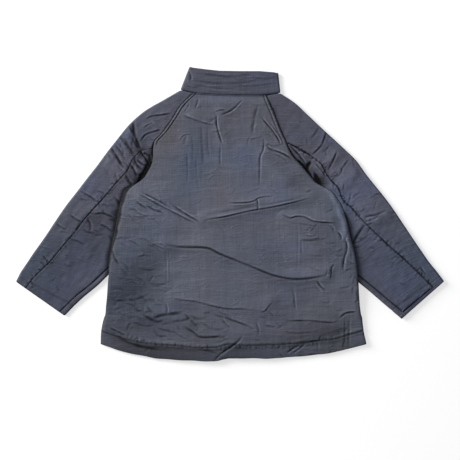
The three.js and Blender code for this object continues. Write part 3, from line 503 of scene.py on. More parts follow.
BACK_FOLDS = [  # high, wide, path
    (5, 19, [(-166, -81), (-63, -90), (36, -126), (113, -157), (166, -166), (250, -157)]),
    (3.5, 19, [(-231, 47), (-170, 26), (-124, 4), (-78, -20)]),
    (4.5, 20, [(-70, -10), (-9, 0), (67, 15), (212, 46)]),
    (3, 17, [(143, 0), (212, -14), (262, -18)]),
    (3, 18, [(-147, -217), (-17, -238), (75, -248), (109, -229)]),
    (3, 18, [(-240, -275), (-170, -262), (-110, -285)]),
    (3, 17, [(90, 150), (120, 118), (150, 90)]),
    (2.4, 17, [(-20, 262), (-22, 225), (-12, 190)]),
    (2.4, 16, [(-90, 262), (-60, 250), (-30, 244)]),
]
BACK_CREASES = [  # deep, roll, wide, side, path
    # the long crease across the small of the back
    (3.6, 2.6, 3.1, 1, [(-166, -80), (-126, -86), (-59, -88), (-23, -104), (22, -122), (66, -140),
                        (111, -158), (156, -168), (200, -168), (246, -160), (262, -152)]),
    (1.2, 0.9, 2.3, 1, [(-196, -77), (-180, -78), (-167, -81)]),
    (1.5, 1.0, 2.3, 1, [(-205, -76), (-185, -84), (-168, -92)]),
    (0.9, 0.7, 2.3, 1, [(120, -172), (150, -172), (180, -170)]),
    (1.3, 1.0, 2.3, -1, [(257, -160), (262, -148), (268, -130)]),
    (1.1, 0.8, 2.3, -1, [(249, -164), (254, -150), (254, -142)]),
    # the broad V below the shoulder blades
    (1.9, 2.2, 2.3, 1, [(-236, 54), (-189, 27), (-144, 4), (-113, -12), (-86, -25)]),
    (2.2, 1.6, 2.3, 1, [(-150, 24), (-104, -5), (-73, -22)]),
    (1.9, 1.6, 2.3, -1, [(-230, 56), (-196, 40), (-160, 20)]),
    (2.2, 2.3, 2.2, 1, [(-70, -16), (-14, -7), (57, 9), (111, 18), (169, 31), (212, 43)]),
    (1.0, 0.8, 2.3, -1, [(90, 22), (130, 30), (190, 42)]),
    (2.1, 1.6, 2.0, 1, [(-6, 29), (53, 31), (80, 43), (115, 47)]),
    (1.7, 1.0, 2.2, 1, [(71, 41), (74, 26), (74, 8)]),
    (1.1, 0.0, 4.4, 1, [(-62, -2), (-10, 8), (57, 21), (111, 30)]),
    (0.9, 0.8, 2.3, 1, [(-2, 20), (40, 22), (78, 28)]),
    (2.7, 1.8, 2.3, 1, [(138, -1), (158, -10), (175, -6), (196, -8), (220, -19), (250, -22), (283, -23)]),
    (0.9, 0.7, 2.3, 1, [(150, -22), (190, -26), (240, -34)]),
    # small folds under the left arm of the V
    (1.8, 1.2, 2.3, 1, [(-243, 33), (-226, 22), (-212, 12)]),
    (1.8, 1.2, 2.3, 1, [(-212, 20), (-192, 10), (-170, 3)]),
    (1.1, 1.0, 2.3, 1, [(-246, 10), (-226, -2), (-208, -4)]),
    (1.2, 1.0, 2.3, 1, [(-252, -6), (-230, -8), (-206, -4)]),
    (1.1, 0.9, 2.3, 1, [(-214, -10), (-204, -14), (-190, -12)]),
    # low on the back
    (2.1, 1.2, 2.3, 1, [(-150, -217), (-126, -223), (-86, -228), (-14, -245), (40, -247), (82, -252)]),
    (1.6, 1.2, 2.3, 1, [(78, -253), (92, -252), (102, -240), (112, -229)]),
    (1.8, 1.6, 4.2, 1, [(-198, -271), (-171, -262), (-122, -257)]),
    (1.3, 0.9, 2.3, 1, [(-166, -232), (-162, -246), (-163, -262)]),
    (1.2, 1.0, 3.0, 1, [(-214, -238), (-204, -252), (-190, -262)]),
    (1.4, 1.2, 3.4, 1, [(-117, -258), (-95, -280), (-80, -294)]),
    (2.0, 1.5, 3.0, 1, [(-118, -292), (-95, -306), (-77, -319), (-50, -320), (-10, -316)]),
    (1.2, 1.0, 3.0, 1, [(-190, -296), (-160, -304), (-132, -310)]),
    (1.0, 0.9, 3.0, 1, [(-250, -281), (-220, -292), (-196, -290)]),
    (1.8, 1.3, 2.8, 1, [(-40, -261), (-10, -270), (17, -279), (44, -289), (66, -299)]),
    (1.1, 0.9, 2.6, 1, [(68, -280), (76, -300), (74, -318)]),
    (2.1, 1.2, 2.4, 1, [(147, -278), (200, -277), (268, -282), (284, -276)]),
    (2.8, 1.8, 2.6, 1, [(286, -270), (296, -262), (308, -256), (335, -254)]),
    (1.0, 1.0, 3.0, 1, [(140, -308), (180, -310), (232, -305)]),
    (0.5, 0.4, 7.0, 1, [(70, -340), (130, -332), (184, -322), (240, -308), (290, -294), (306, -276)]),
    # across the turned-up hem
    (2.4, 1.7, 2.6, -1, [(-39, -381), (-20, -362), (4, -346), (24, -330), (34, -316)]),
    (1.4, 1.0, 3.0, 1, [(-84, -352), (-50, -356), (-26, -366)]),
    (1.8, 1.2, 2.4, 1, [(-310, -296), (-290, -306), (-268, -316)]),
    (1.8, 1.4, 3.6, 1, [(-300, -312), (-270, -330), (-230, -345), (-170, -355)]),
    (1.9, 1.3, 2.2, -1, [(148, -362), (166, -350), (184, -340)]),
    (1.6, 1.2, 2.0, -1, [(165, -362), (180, -352), (196, -338)]),
    (1.8, 1.2, 2.0, 1, [(206, -334), (216, -330), (232, -330)]),
    (1.2, 0.8, 2.0, 1, [(228, -330), (230, -344), (231, -356)]),
    # between the shoulders
    (2.2, 1.2, 2.1, 1, [(-33, 256), (-33, 234), (-27, 208), (-18, 181)]),
    (0.9, 0.7, 2.3, 1, [(-23, 176), (-24, 150), (-23, 122)]),
    (1.4, 0.9, 2.4, 1, [(88, 200), (90, 187), (88, 167), (80, 148), (79, 122), (78, 73)]),
    (1.4, 1.5, 2.6, 1, [(-122, 258), (-99, 248), (-70, 238), (-39, 230)]),
    (1.5, 1.0, 2.3, 1, [(-36, 266), (-22, 270), (-8, 270)]),
    (1.7, 1.1, 2.3, -1, [(-22, 256), (7, 270), (34, 296)]),
    (1.0, 0.9, 4.6, 1, [(74, 280), (66, 250), (60, 208)]),
    (1.1, 0.7, 2.3, 1, [(-80, 300), (-84, 286), (-90, 272)]),
    (0.9, 0.7, 2.3, 1, [(-130, 190), (-118, 204), (-96, 208)]),
    (1.9, 1.1, 2.0, 1, [(84, 251), (96, 236), (110, 220), (127, 195), (134, 177)]),
    (0.9, 0.7, 2.0, 1, [(104, 240), (118, 222), (132, 200)]),
    (0.6, 0.4, 3.0, 1, [(-110, 166), (-108, 120), (-109, 75)]),
    (0.7, 0.4, 4.4, 1, [(-72, 231), (-70, 180), (-66, 127)]),
    (0.5, 0.4, 3.2, 1, [(-56, 224), (-55, 180), (-51, 140)]),
    (0.4, 0.3, 3.2, 1, [(-98, 212), (-94, 170), (-96, 130)]),
    (0.4, 0.3, 3.2, 1, [(-86, 150), (-84, 110), (-80, 60)]),
    # beside the right armhole
    (2.0, 1.6, 2.6, 1, [(96, 178), (108, 168), (130, 161), (152, 150), (166, 138)]),
    (1.1, 0.9, 2.3, 1, [(116, 156), (136, 148), (150, 138)]),
    (1.0, 0.8, 2.3, 1, [(92, 182), (118, 178), (142, 182)]),
    # down the right side
    (1.0, 1.2, 2.6, 1, [(258, -30), (268, -36), (272, -48)]),
    (1.9, 1.3, 2.3, 1, [(280, -46), (289, -56), (290, -68)]),
    (2.3, 1.4, 2.4, 1, [(299, -62), (305, -80), (304, -98), (299, -112), (296, -131), (295, -149)]),
    (2.0, 1.2, 2.3, -1, [(272, -128), (266, -140), (263, -160), (262, -172)]),
    (2.1, 1.2, 2.3, 1, [(228, -174), (238, -188), (250, -198)]),
    (0.9, 0.7, 2.3, 1, [(222, -186), (232, -196), (238, -204)]),
    (1.2, 0.7, 2.3, 1, [(164, -190), (168, -215), (172, -252)]),
    # where what lies inside presses through
    (0.5, 0.7, 1.8, 1, [(-164, -96), (-163, -160), (-163, -215)]),
    (0.4, 0.5, 1.6, 1, [(-156, -96), (-155, -160)]),
    (0.5, 0.6, 2.2, 1, [(176, -10), (178, -80), (176, -150)]),
    (1.3, 0.6, 3.0, 1, [(184, -68), (216, -68), (252, -64)]),
    (0.9, 0.4, 2.4, 1, [(186, -68), (186, -84), (188, -104)]),
    (0.8, 0.4, 2.6, 1, [(196, -106), (225, -108), (250, -106)]),
    (1.1, 0.8, 2.3, 1, [(196, -54), (214, -58), (226, -52)]),
    # the side seam, rolled a little to the back above the right corner of the hem
    (1.2, 0.9, 2.2, -1, [(299, -272), (299, -310), (298, -350)]),
    (1.1, 0.8, 2.2, 1, [(312, -268), (311, -310), (311, -350)]),
    # low on the left, where the cloth is much rumpled
    (1.0, 0.9, 3.0, 1, [(-238, -112), (-222, -108), (-204, -110)]),
    (1.6, 1.1, 3.0, 1, [(-306, -90), (-296, -116), (-284, -132)]),
    (1.1, 0.9, 3.2, 1, [(-236, -140), (-210, -146), (-190, -142)]),
    (1.0, 0.8, 3.0, 1, [(-210, -176), (-190, -184), (-160, -182)]),
    (1.3, 1.0, 3.4, 1, [(-304, -222), (-270, -226), (-236, -220), (-210, -208)]),
    (1.2, 0.9, 3.0, 1, [(-250, -236), (-238, -250), (-222, -254)]),
    (1.8, 1.2, 4.0, 1, [(-224, -262), (-206, -272), (-186, -280), (-170, -276)]),
    (1.1, 0.9, 3.0, 1, [(-266, -272), (-240, -268), (-214, -276)]),
    (1.2, 1.0, 3.4, 1, [(-196, -300), (-184, -316), (-160, -320)]),
    (1.2, 1.0, 3.2, 1, [(-100, -262), (-84, -272), (-60, -270)]),
    (1.3, 1.2, 3.4, 1, [(-150, -280), (-120, -276), (-96, -268)]),
    (0.9, 0.8, 3.0, 1, [(-60, -294), (-30, -300), (-4, -296)]),
]
# Bands of painted shade above the hem's stitching at the right.
BACK_SHADE_BANDS = [[(150, -346), (196, -338), (240, -328), (300, -310), (306, -292), (288, -296), (230, -314),
               (170, -334)]]
for strewn in (
        (34, 3, (-315, -190, -290, 30), -12, 16, (14, 46), (0.4, 1.2)),
        (10, 9, (-300, -200, -300, -150), 62, 20, (12, 26), (0.4, 1.0)),
        (20, 4, (-180, 150, -335, -255), -14, 22, (14, 44), (0.5, 1.3)),
        (26, 5, (200, 325, -250, 60), 14, 30, (10, 32), (0.4, 1.2)),
        (16, 6, (300, 340, -250, 10), 80, 12, (12, 34), (0.4, 1.1)),
        (16, 7, (-120, 110, 180, 290), 20, 60, (12, 34), (0.3, 0.9)),
        (34, 8, (-180, 180, -220, 170), 0, 20, (14, 44), (0.2, 0.5)),
        (30, 11, (-310, -150, -330, -120), -4, 22, (16, 46), (0.4, 1.0)),
        (16, 10, (-240, -120, -20, 30), -28, 12, (16, 36), (0.4, 1.1)),
        (14, 12, (-300, 330, -372, -340), 20, 40, (10, 26), (0.5, 1.2))):
    BACK_CREASES += scattered(*strewn)
HEM_LINE = [(-318, -302), (-250, -326), (-210, -336), (-140, -342), (-13, -346), (110, -344), (232, -330),
            (298, -306), (340, -302)]
RAGLAN_LINES = {"left": [(-95, 313), (-126, 282), (-147, 249), (-175, 211), (-196, 187)],
                "right": [(98, 306), (106, 284), (117, 261), (133, 220), (147, 187)]}
BACK_CREASES += puckered(HEM_LINE, 13, 13, (6, 16), (0.5, 1.5))
BACK_CREASES += puckered(RAGLAN_LINES["left"], 14, 15, (6, 14), (0.4, 1.0))
BACK_CREASES += puckered(RAGLAN_LINES["right"], 15, 15, (6, 14), (0.4, 1.0))
# Painted shade where the cloth turns from the light, and painted light where the share is below 0.
DARKER = [  # soft hollows, turned from the light: x, y, reach across and along, share
    (-262, -205, 96, 120, 0.42), (-150, -300, 150, 50, 0.16),
    (-262, -30, 60, 80, 0.12), (-92, 175, 44, 74, 0.24),
    (250, -110, 50, 60, 0.10), (40, 265, 120, 36, 0.08),
    (240, -300, 90, 26, 0.30), (60, -325, 180, 20, 0.20),
    (-162, 205, 30, 52, 0.17), (-90, 282, 46, 36, 0.17),
    (-130, -376, 70, 18, 0.25), (330, -338, 28, 22, 0.25),
    (-302, -300, 30, 24, 0.15), (-150, -262, 90, 30, 0.13),
    (291, -271, 30, 26, 0.14), (150, 41, 30, 13, 0.14),
    (229, 48, 28, 28, -0.14), (-120, 230, 40, 24, 0.10),
    (-174, 170, 24, 30, 0.12),
]
SUNK_EDGE = [  # height, width
    (-156, 0), (-138, 2), (-120, 5), (-86, 5), (-68, 8), (-50, 9.4), (67, 10), (84, 0)]

# Painted shade at the bottom of a deep crease.
CREASE_DARK = 0.88       # how dark the bottom of a deep crease is

def darkened(x, y, hollows):
    light = np.ones(x.shape)
    for at_x, at_y, across, along, share in hollows:
        light *= 1 - share * np.exp(-((x - at_x) / across) ** 2 - ((y - at_y) / along) ** 2)
    return light

def pocketed(pockets, x, y):
    """How far into a patch each place is, from 0 to 1, for painted shade and for hollows; its corners run
    round it to the left.
    """
    deep = np.zeros(x.shape)
    for corners in pockets:
        inside = np.full(x.shape, 1e9)
        for (ax, ay), (bx, by) in zip(corners, corners[1:] + corners[:1]):
            left_of = ((bx - ax) * (y - ay) - (by - ay) * (x - ax)) / np.hypot(bx - ax, by - ay)
            inside = np.minimum(inside, left_of)
        deep = np.maximum(deep, smooth(-2.0, 3.0, inside))
    return deep

COLD = np.array([-0.13, 0.0, 0.12])  # a patch fully faded to a bluer slate
FADED = [  # rows as in DARKER
    (-98, 130, 56, 100, -1.2), (-150, 200, 34, 44, 0.6),
    (-30, 60, 44, 60, 0.2), (-290, 40, 24, 60, 0.5), (-250, -180, 90, 110, -0.7),
    (290, -110, 50, 130, -0.4), (292, 10, 26, 70, -0.3), (230, 30, 70, 60, -0.3),
    (-200, 20, 60, 60, -0.5), (500, -130, 110, 90, -1.0),
    (350, 40, 60, 90, -0.2), (-500, -120, 90, 90, -0.9),
    (40, 160, 40, 60, -0.3), (100, -320, 90, 30, 0.25),
]
def tinted(shade, x, y):
    """The shade as a colour, bluer where the cloth has faded so."""
    return shade[..., None] * (1 + (darkened(x, y, FADED) - 1)[..., None] * COLD)

x, y, level = back_grid(274, 74, 250)
left_edge, right_edge = x[:, :1], x[:, -1:]
from_side = np.minimum(x - left_edge, right_edge - x)
from_hem = y - y[:1]
from_neck = y[-1:] - y
raglan = level > RAGLAN_FOOT
inward = np.minimum(np.minimum(from_side, from_hem), from_neck)
thick = np.where(raglan, puffed(np.minimum(from_side, from_neck), SEAM_ROUND), puffed(inward, BACK_ROUND))
z = HIGH + back_lift(x, np.minimum(level, RAGLAN_FOOT)) * smooth(1, 20, from_neck) + ridged(BACK_FOLDS, x, y)
# its neck edge runs in under the collar's foot
z -= 1.2 * smooth(2.5, 0, from_neck)
y = y + 1.6 * smooth(2.5, 0, from_neck) * (from_side > 3)
y = y + 1.5 * uneven(x, 0 * y, 32, 100, 10) * smooth(40, 0, from_hem) * smooth(0, 40, from_side)
to_front = smooth(UNDERARM + 20, UNDERARM - 20, level) * smooth(13, 0, from_side)
z = z - to_front * (CLOTH - thick) / 2
fade = smooth(0, 9, inward)
relief, cleft = creased(BACK_CREASES, x, y)
calm = 0.55 + 0.45 * smooth(130, 290, np.hypot(x * 1.1, y * 0.9))
relief += fade * calm * rumpled(x, y, (1.1, 74, 46, 1), (0.6, 46, 17, 2), (0.35, 26, 7, 3), (0.18, 9, 14, 4))
# The stitching along the top of the hem draws the cloth in, in short uneven puckers.
hem_away = level - HEM_CORNER - HEM_DEPTH + 2.5 * uneven(x, y, 45, 400, 8)
stitched = np.exp(-(hem_away / STITCH_WIDTH) ** 2) * smooth(0, 6, from_side)
relief -= STITCH_DEPTH * stitched
relief += 1.0 * uneven(x, y, 13, 60, 5) * np.exp(-np.abs(hem_away) / 12)
relief += 1.2 * np.exp(-((hem_away - 6) / 4) ** 2)
strip = smooth(1, -5, hem_away)
relief -= strip * (0.4 + 0.9 * np.exp(-((hem_away + 10) / 6) ** 2) * (0.6 + uneven(x, y, 70, 200, 9)))
# Beside the raglan seams the seam allowance lies as a narrow ridge, stitched down at its inner side.
on_raglan = smooth(170, 196, y)
seam_row = np.exp(-((from_side - ALLOWANCE) / 1.8) ** 2) * on_raglan
relief += on_raglan * 1.1 * np.exp(-((from_side - ALLOWANCE_RIDGE) / 2.2) ** 2) - 1.3 * seam_row
relief += on_raglan * 0.5 * uneven(x, y, 60, 11, 6) * np.exp(-from_side / 12)
relief += 0.7 * uneven(x, y, 13, 60, 7) * np.exp(-from_neck / 9)
# Painted shade on the turned-up hem strip, darkest just below its stitching and fading out at both ends.
hem_strip_shade = (0.46 + 0.30 * np.exp(np.clip(hem_away, -40, 0) / 10)) * (0.8 + 0.35 * uneven(x, y, 90, 300, 64))
hem_strip_shade *= (1 - 0.85 * smooth(-280, -312, x - 0.6 * hem_away)) * (1 - 0.8 * smooth(298, 314, x))
# Painted shade in the creases' clefts with painted highlights along their crests, in the grooves of the hem's
# stitching and of the raglans' stitched rows, on the hem strip and in the bands above the hem.
shade = darkened(x, y, DARKER) * (1 - CREASE_DARK * np.clip(cleft, None, 1))
shade *= (1 - 0.5 * stitched) * (1 - 0.45 * seam_row) * (1 - strip * hem_strip_shade)
shade *= 1 - 0.42 * pocketed(BACK_SHADE_BANDS, x, y)
# Painted shade along the neck edge and the side edges, less beside the raglans.
shade *= 1 - 0.35 * np.exp(-from_neck / 3) - (0.6 - 0.2 * on_raglan) * np.exp(-from_side / 3.5)
# Below the left armpit its edge sinks away into the cleft beside the sleeve and is painted dark there with
# shade.
sunk_width = np.interp(y, *np.transpose(SUNK_EDGE)) * (1 + 0.2 * uneven(0 * x, y, 30, 17, 65))
sunk = smooth(1.5, -2.5, x - left_edge - sunk_width) * smooth(0, 3, sunk_width) * (level < RAGLAN_FOOT)
relief -= 1.6 * sunk * smooth(0, 4, from_side)
shade *= 1 - (0.66 + 0.2 * uneven(x, y, 22, 16, 66)) * sunk
# From the right armpit a rounded fold runs down the body's edge, at its top without a cleft beside it and
# without the painted edge shade; a highlight is painted along the fold.
from_right = right_edge - x
flows_over = smooth(80, 66, y) * smooth(-12, 12, y)
shade /= 1 - 0.6 * np.exp(-from_right / 3.5) * flows_over
rounded = np.exp(-((from_right - 10 - 3 * uneven(x, y, 300, 26, 62)) / 7) ** 2)
rounded *= smooth(84, 50, y) * smooth(-120, -40, y)
relief += 1.6 * rounded
shade *= 1 + 0.34 * rounded
shade *= 1 + 0.06 * uneven(x, y, 60, 30, 61)
out = np.zeros((*x.shape, 3))
out[..., 2] = 1
grain = np.stack([x, y], -1)
back = cloth_wall("back", BODY_COLOUR, np.stack([x, y, z], -1), out, thick, relief, grain, shade, coarse=5)
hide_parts("back")
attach(back, "root")

# ---- Fronts ----------------------------------------------------------------------------------------------
# The left and the right front lie under the back, sewn to it down the sides and to the sleeves' undersides.
# They lie over each other at the middle, the left one on top; their hems are turned up as the back's is.
FRONT_NECK = 226
FRONT_CREASES = {
    "left": [
        (1.2, 0.0, 4.0, 1, [(-250, -60), (-200, -95), (-140, -110)]),
        (1.2, 0.0, 4.0, 1, [(-180, 120), (-130, 80), (-90, 70)]),
        (1.0, 0.0, 4.0, 1, [(-260, -250), (-180, -240), (-100, -262)]),
    ],
    "right": [
        (1.2, 0.0, 4.0, 1, [(250, -70), (200, -100), (120, -95)]),
        (1.2, 0.0, 4.0, 1, [(150, 130), (100, 90), (60, 84)]),
        (1.0, 0.0, 4.0, 1, [(270, -240), (180, -255), (90, -240)]),
    ],
}
def front_neck(x):
    ends = {side: section_end(side, "below", 0.0) for side in SIDES}
    end_x = np.where(x < 0, ends["left"][0], ends["right"][0])
    end_y = np.where(x < 0, ends["left"][1], ends["right"][1])
    share = np.clip((np.abs(x) - OVERLAP) / (np.abs(end_x) - OVERLAP), 0, 1)
    return FRONT_NECK + (end_y - FRONT_NECK) * share ** 1.7

for side, sign in SIDES.items():
    free = -sign * OVERLAP
    levels = np.concatenate([HEM_CORNER + np.array([0, 1.2, 3]),
                             np.linspace(HEM_CORNER + 6, RAGLAN_FOOT, 88)])
    clearance = np.where(levels < 0, 3.0, 0.8)
    edge = np.where(levels < UNDERARM - 1, body_edge(side, levels) - sign * SEAM_GAP / 2,
                    sleeve_edge(side, levels) - sign * clearance)
    share = np.concatenate([[0, 0.003, 0.008], np.linspace(0, 1, 64)[1:-1], [0.992, 0.997, 1]])
    x = edge[:, None] + (free - edge[:, None]) * share
    y = levels[:, None] + hem_bow(x, np.repeat(levels[:, None], share.size, 1))
    steps = np.linspace(BODY_CORNER, NECK, 22)[1:]
    ends = section_end(side, "below", steps)
    x_up = (ends[:, :1] - sign * 0.4) + (free - ends[:, :1]) * share
    part = (1 - steps / BODY_CORNER)[:, None]
    straight = RAGLAN_FOOT + (front_neck(x_up[-1])[None, :] - RAGLAN_FOOT) * part
    fit = ends[:, 1:] - (RAGLAN_FOOT + (ends[-1, 1] - RAGLAN_FOOT) * part)
    y_up = straight + fit * (1 - share) ** 2
    level = np.vstack([np.repeat(levels[:, None], share.size, 1), np.full(x_up.shape, RAGLAN_FOOT + 1.0)])
    x, y = np.vstack([x, x_up]), np.vstack([y, y_up])
    from_side = np.minimum(np.abs(x - x[:, :1]), np.abs(x[:, -1:] - x))
    inward = np.minimum(np.minimum(from_side, y - y[:1]), y[-1:] - y)
    thick = puffed(inward, FRONT_ROUND) * 0.98
    lift = 2 * LAYER * over_sleeve_share(x, level) * smooth(UNDERARM_TOP, UNDERARM, level)
    if side == "left":
        lift = np.maximum(lift, LAYER * smooth(-OVERLAP_FOOT, -OVERLAP, x))
    to_back = np.where(level < UNDERARM - 1, smooth(13, 0, np.abs(x - x[:, :1])), 0)
    z = LOW + lift + to_back * (CLOTH - thick) / 2
    away = level - HEM_CORNER - HEM_DEPTH
    relief, cleft = creased(FRONT_CREASES[side], x, y)
    relief = np.minimum(relief, 0) - 0.9 * np.exp(-(away / 2.6) ** 2)
    # Painted shade in the creases' clefts and in the groove of the hem's stitching.
    shade = (1 - 0.6 * cleft) * (1 - 0.3 * np.exp(-(away / 2.2) ** 2))
    relief -= 0.25 * (1 + uneven(x, y, 40, 18, 21)) * smooth(0, 8, inward)
    out = np.zeros((*x.shape, 3))
    out[..., 2] = -1
    front = cloth_wall(f"front_{side}", BODY_COLOUR, np.stack([x, y, z], -1), out, thick, relief,
                       np.stack([x, y], -1), shade, turned=side == "left")
    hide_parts(f"front_{side}")
    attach(front, "root")

# ---- Sleeves ---------------------------------------------------------------------------------------------
# Each sleeve is two pieces, the over sleeve and the under sleeve, sewn down the back of the arm and along
# the underarm. They lie flat; the over sleeve is folded along the arm's top, and the cuffs are turned in
# and stitched.
# The sleeves are of the body's cloth; their darker colours are painted shade.
OVER_SLEEVE_COLOUR = (0.0330, 0.0346, 0.0466)
UNDER_SLEEVE_COLOUR = (0.0315, 0.0331, 0.0446)
SECTION_LENGTH = 41      # from one section to the next
CUFF_DEPTH = 24
UNDERARM_SEAM = 11
ROLLED, SEAM_INSIDE = 10.5, 12
HALF_TURN = np.pi * FOLD_RADIUS
SLEEVE_FOLDS = {
    "left": [
        (3, 15, [(-272, 225), (-262, 190), (-240, 158)]),
        (3, 15, [(-320, 150), (-296, 124), (-270, 104)]),
        (3, 16, [(-380, -2), (-330, 4), (-305, -8)]),
        (2.5, 15, [(-420, -60), (-392, -64), (-362, -88)]),
    ],
    "right": [
        (3, 15, [(290, 160), (262, 140), (236, 128)]),
        (3, 15, [(330, 110), (306, 84), (286, 72)]),
        (3, 16, [(420, 0), (388, -14), (350, -24)]),
    ],
}
SLEEVE_CREASES = {
    "left": [
        # a deep fold down from the shoulder and long wrinkles fanning out from the armpit
        (3.6, 2.4, 4.2, 1, [(-250, 240), (-247, 213), (-241, 194), (-233, 175), (-223, 164)]),
        (2.8, 2.0, 3.6, 1, [(-274, 198), (-259, 170), (-246, 150)]),
        (2.2, 1.6, 2.4, -1, [(-262, 230), (-254, 214), (-244, 200)]),
        (2.0, 1.4, 2.2, -1, [(-254, 200), (-244, 180), (-234, 168)]),
        (2.8, 1.8, 3.2, 1, [(-310, 176), (-298, 158), (-285, 137), (-273, 118)]),
        (1.6, 1.4, 2.4, 1, [(-296, 180), (-284, 164), (-270, 142)]),
        (1.4, 1.2, 2.4, -1, [(-288, 204), (-272, 182), (-262, 170)]),
        (1.2, 1.0, 2.3, 1, [(-290, 126), (-280, 114), (-268, 106)]),
        (1.9, 1.5, 2.6, -1, [(-147, 263), (-176, 258), (-200, 255), (-218, 247)]),
        (1.8, 1.6, 2.6, -1, [(-176, 220), (-202, 213), (-221, 204), (-231, 188)]),
        (1.0, 0.9, 2.3, -1, [(-196, 238), (-212, 232), (-224, 222)]),
        # in the armpit, between the seam and the body
        (3.2, 0.6, 7.0, -1, [(-208, 150), (-212, 128), (-221, 108), (-236, 90), (-250, 82)]),
        (2.8, 1.6, 3.0, 1, [(-236, 168), (-220, 148), (-208, 128)]),
        (2.6, 1.8, 3.0, 1, [(-248, 148), (-240, 128), (-222, 112)]),
        (2.4, 1.6, 2.6, 1, [(-260, 132), (-248, 116), (-240, 94)]),
        (2.2, 1.0, 3.0, 1, [(-224, 160), (-212, 154), (-202, 150)]),
        (2.8, 1.6, 3.0, 1, [(-270, 103), (-261, 85), (-248, 72)]),
        (2.8, 1.6, 2.8, 1, [(-242, 142), (-224, 129), (-206, 126)]),
        (2.6, 1.4, 3.0, 1, [(-247, 109), (-236, 102), (-224, 105)]),
        # round the elbow
        (1.9, 1.3, 2.3, 1, [(-387, 60), (-366, 48), (-345, 36)]),
        (1.6, 1.1, 2.3, 1, [(-360, 42), (-346, 34), (-336, 30)]),
        (2.3, 1.5, 2.3, 1, [(-414, -3), (-400, -12), (-383, -22)]),
        (3.4, 2.0, 2.8, 1, [(-353, -1), (-332, 2), (-314, -3), (-294, -14)]),
        (2.0, 1.3, 2.3, 1, [(-372, -8), (-361, -28), (-363, -52)]),
        (2.3, 1.6, 2.6, 1, [(-336, -26), (-320, -34), (-303, -46)]),
        (1.6, 1.1, 2.8, 1, [(-380, -40), (-366, -48), (-346, -50)]),
        (2.0, 1.4, 2.8, 1, [(-300, 46), (-283, 24), (-276, 2)]),
        (1.4, 1.0, 2.3, 1, [(-344, 60), (-330, 56), (-318, 44)]),
        (1.2, 1.1, 3.0, 1, [(-424, -62), (-396, -70), (-372, -82)]),
        (1.5, 1.0, 2.8, 1, [(-312, -52), (-304, -74), (-306, -92)]),
        (1.5, 1.1, 2.3, 1, [(-450, -24), (-434, -36), (-420, -40)]),
        # above the cuff
        (1.7, 1.0, 2.3, 1, [(-474, -118), (-466, -126), (-456, -128)]),
        (1.5, 1.0, 2.3, 1, [(-486, -108), (-478, -116), (-472, -126)]),
        (1.5, 1.0, 2.3, -1, [(-492, -126), (-484, -132), (-482, -140)]),
    ],
    "right": [
        (2.3, 1.8, 2.6, -1, [(252, 216), (244, 190), (235, 174), (214, 153)]),
        (1.0, 1.6, 3.0, -1, [(232, 226), (222, 208), (210, 196)]),
        (2.2, 1.6, 2.6, -1, [(280, 166), (272, 146), (256, 114)]),
        (1.5, 1.3, 2.6, -1, [(311, 143), (295, 122), (287, 104), (264, 94)]),
        (1.4, 1.0, 2.3, 1, [(262, 96), (276, 102), (286, 110)]),
        (2.3, 1.6, 2.6, -1, [(348, -12), (362, -6), (380, -3), (408, 9)]),
        (1.6, 1.2, 2.3, -1, [(352, -22), (372, -14), (392, -2)]),
        (2.8, 1.6, 3.4, -1, [(352, -27), (340, -44), (326, -66), (316, -84)]),
        (1.2, 0.9, 2.3, -1, [(366, -32), (360, -44), (356, -52)]),
        # in the armpit: a dark V and below it a pocket, and the body's edge deep beside them
        (3.0, 1.2, 3.6, 1, [(214, 136), (206, 122), (201, 108)]),
        (2.8, 0.4, 4.6, 1, [(180, 140), (192, 124), (204, 108), (214, 94)]),
        (3.4, 1.0, 6.4, 1, [(226, 106), (231, 94), (238, 82), (250, 66)]),
        (1.9, 1.5, 2.8, -1, [(150, 186), (172, 174), (192, 162), (214, 152)]),
        (2.0, 1.3, 2.6, 1, [(156, 180), (174, 162), (190, 146)]),
        (1.8, 1.2, 2.3, 1, [(180, 152), (192, 140), (198, 128)]),
        (1.4, 1.2, 2.3, -1, [(222, 132), (240, 112), (250, 96)]),
        (1.8, 1.2, 3.0, -1, [(292, 22), (284, -4), (284, -30)]),
        (1.3, 1.0, 3.0, 1, [(300, -80), (320, -86), (344, -84)]),
        (1.3, 1.0, 2.3, 1, [(398, -66), (408, -76), (420, -84)]),
        (1.2, 0.9, 2.3, 1, [(386, -56), (380, -66), (372, -70)]),
        (1.3, 1.0, 2.3, 1, [(497, -136), (504, -148), (512, -158)]),
    ],
}
# Painted shade and, where the share is below 0, painted light on the sleeves.
SLEEVE_DARKER = {  # rows as in DARKER
    "left": [(-229, 93, 17, 17, 0.9), (-480, -130, 120, 90, 0.30),
             (-350, -40, 90, 90, 0.32), (-236, 190, 26, 40, 0.25),
             (-440, -214, 95, 42, 0.22), (-275, 195, 26, 36, 0.12),
             (-205, 140, 16, 26, 0.45), (-246, 160, 16, 28, 0.3),
             (-256, 92, 16, 24, 0.3), (-284, 30, 26, 50, 0.15)],
    "right": [(202, 114, 12, 24, 0.7), (240, 84, 13, 22, 0.8),
              (480, -150, 120, 90, -0.12), (350, 30, 80, 100, -0.32),
              (272, 112, 46, 62, -0.26), (300, 40, 30, 50, -0.12)],
}
# The hollows sink in and are painted near black with shade.
POCKETS = {  # black hollows in the armpits, between the folds and the body
    "left": [[(-207, 146), (-219, 123), (-246, 103), (-249, 74), (-222, 74), (-190, 120)]],
    "right": [[(178, 142), (186, 104), (214, 88), (204, 114), (196, 128)],
              [(196, 128), (204, 114), (213, 139)],
              [(220, 110), (220, 90), (238, 68), (249, 64), (237, 86), (230, 102)]],
}
for seed, (side, parts) in enumerate(SLEEVES.items()):
    SLEEVE_CREASES[side] += puckered(parts["seam"], 17 + seed, 9, (6, 16), (0.7, 1.8))
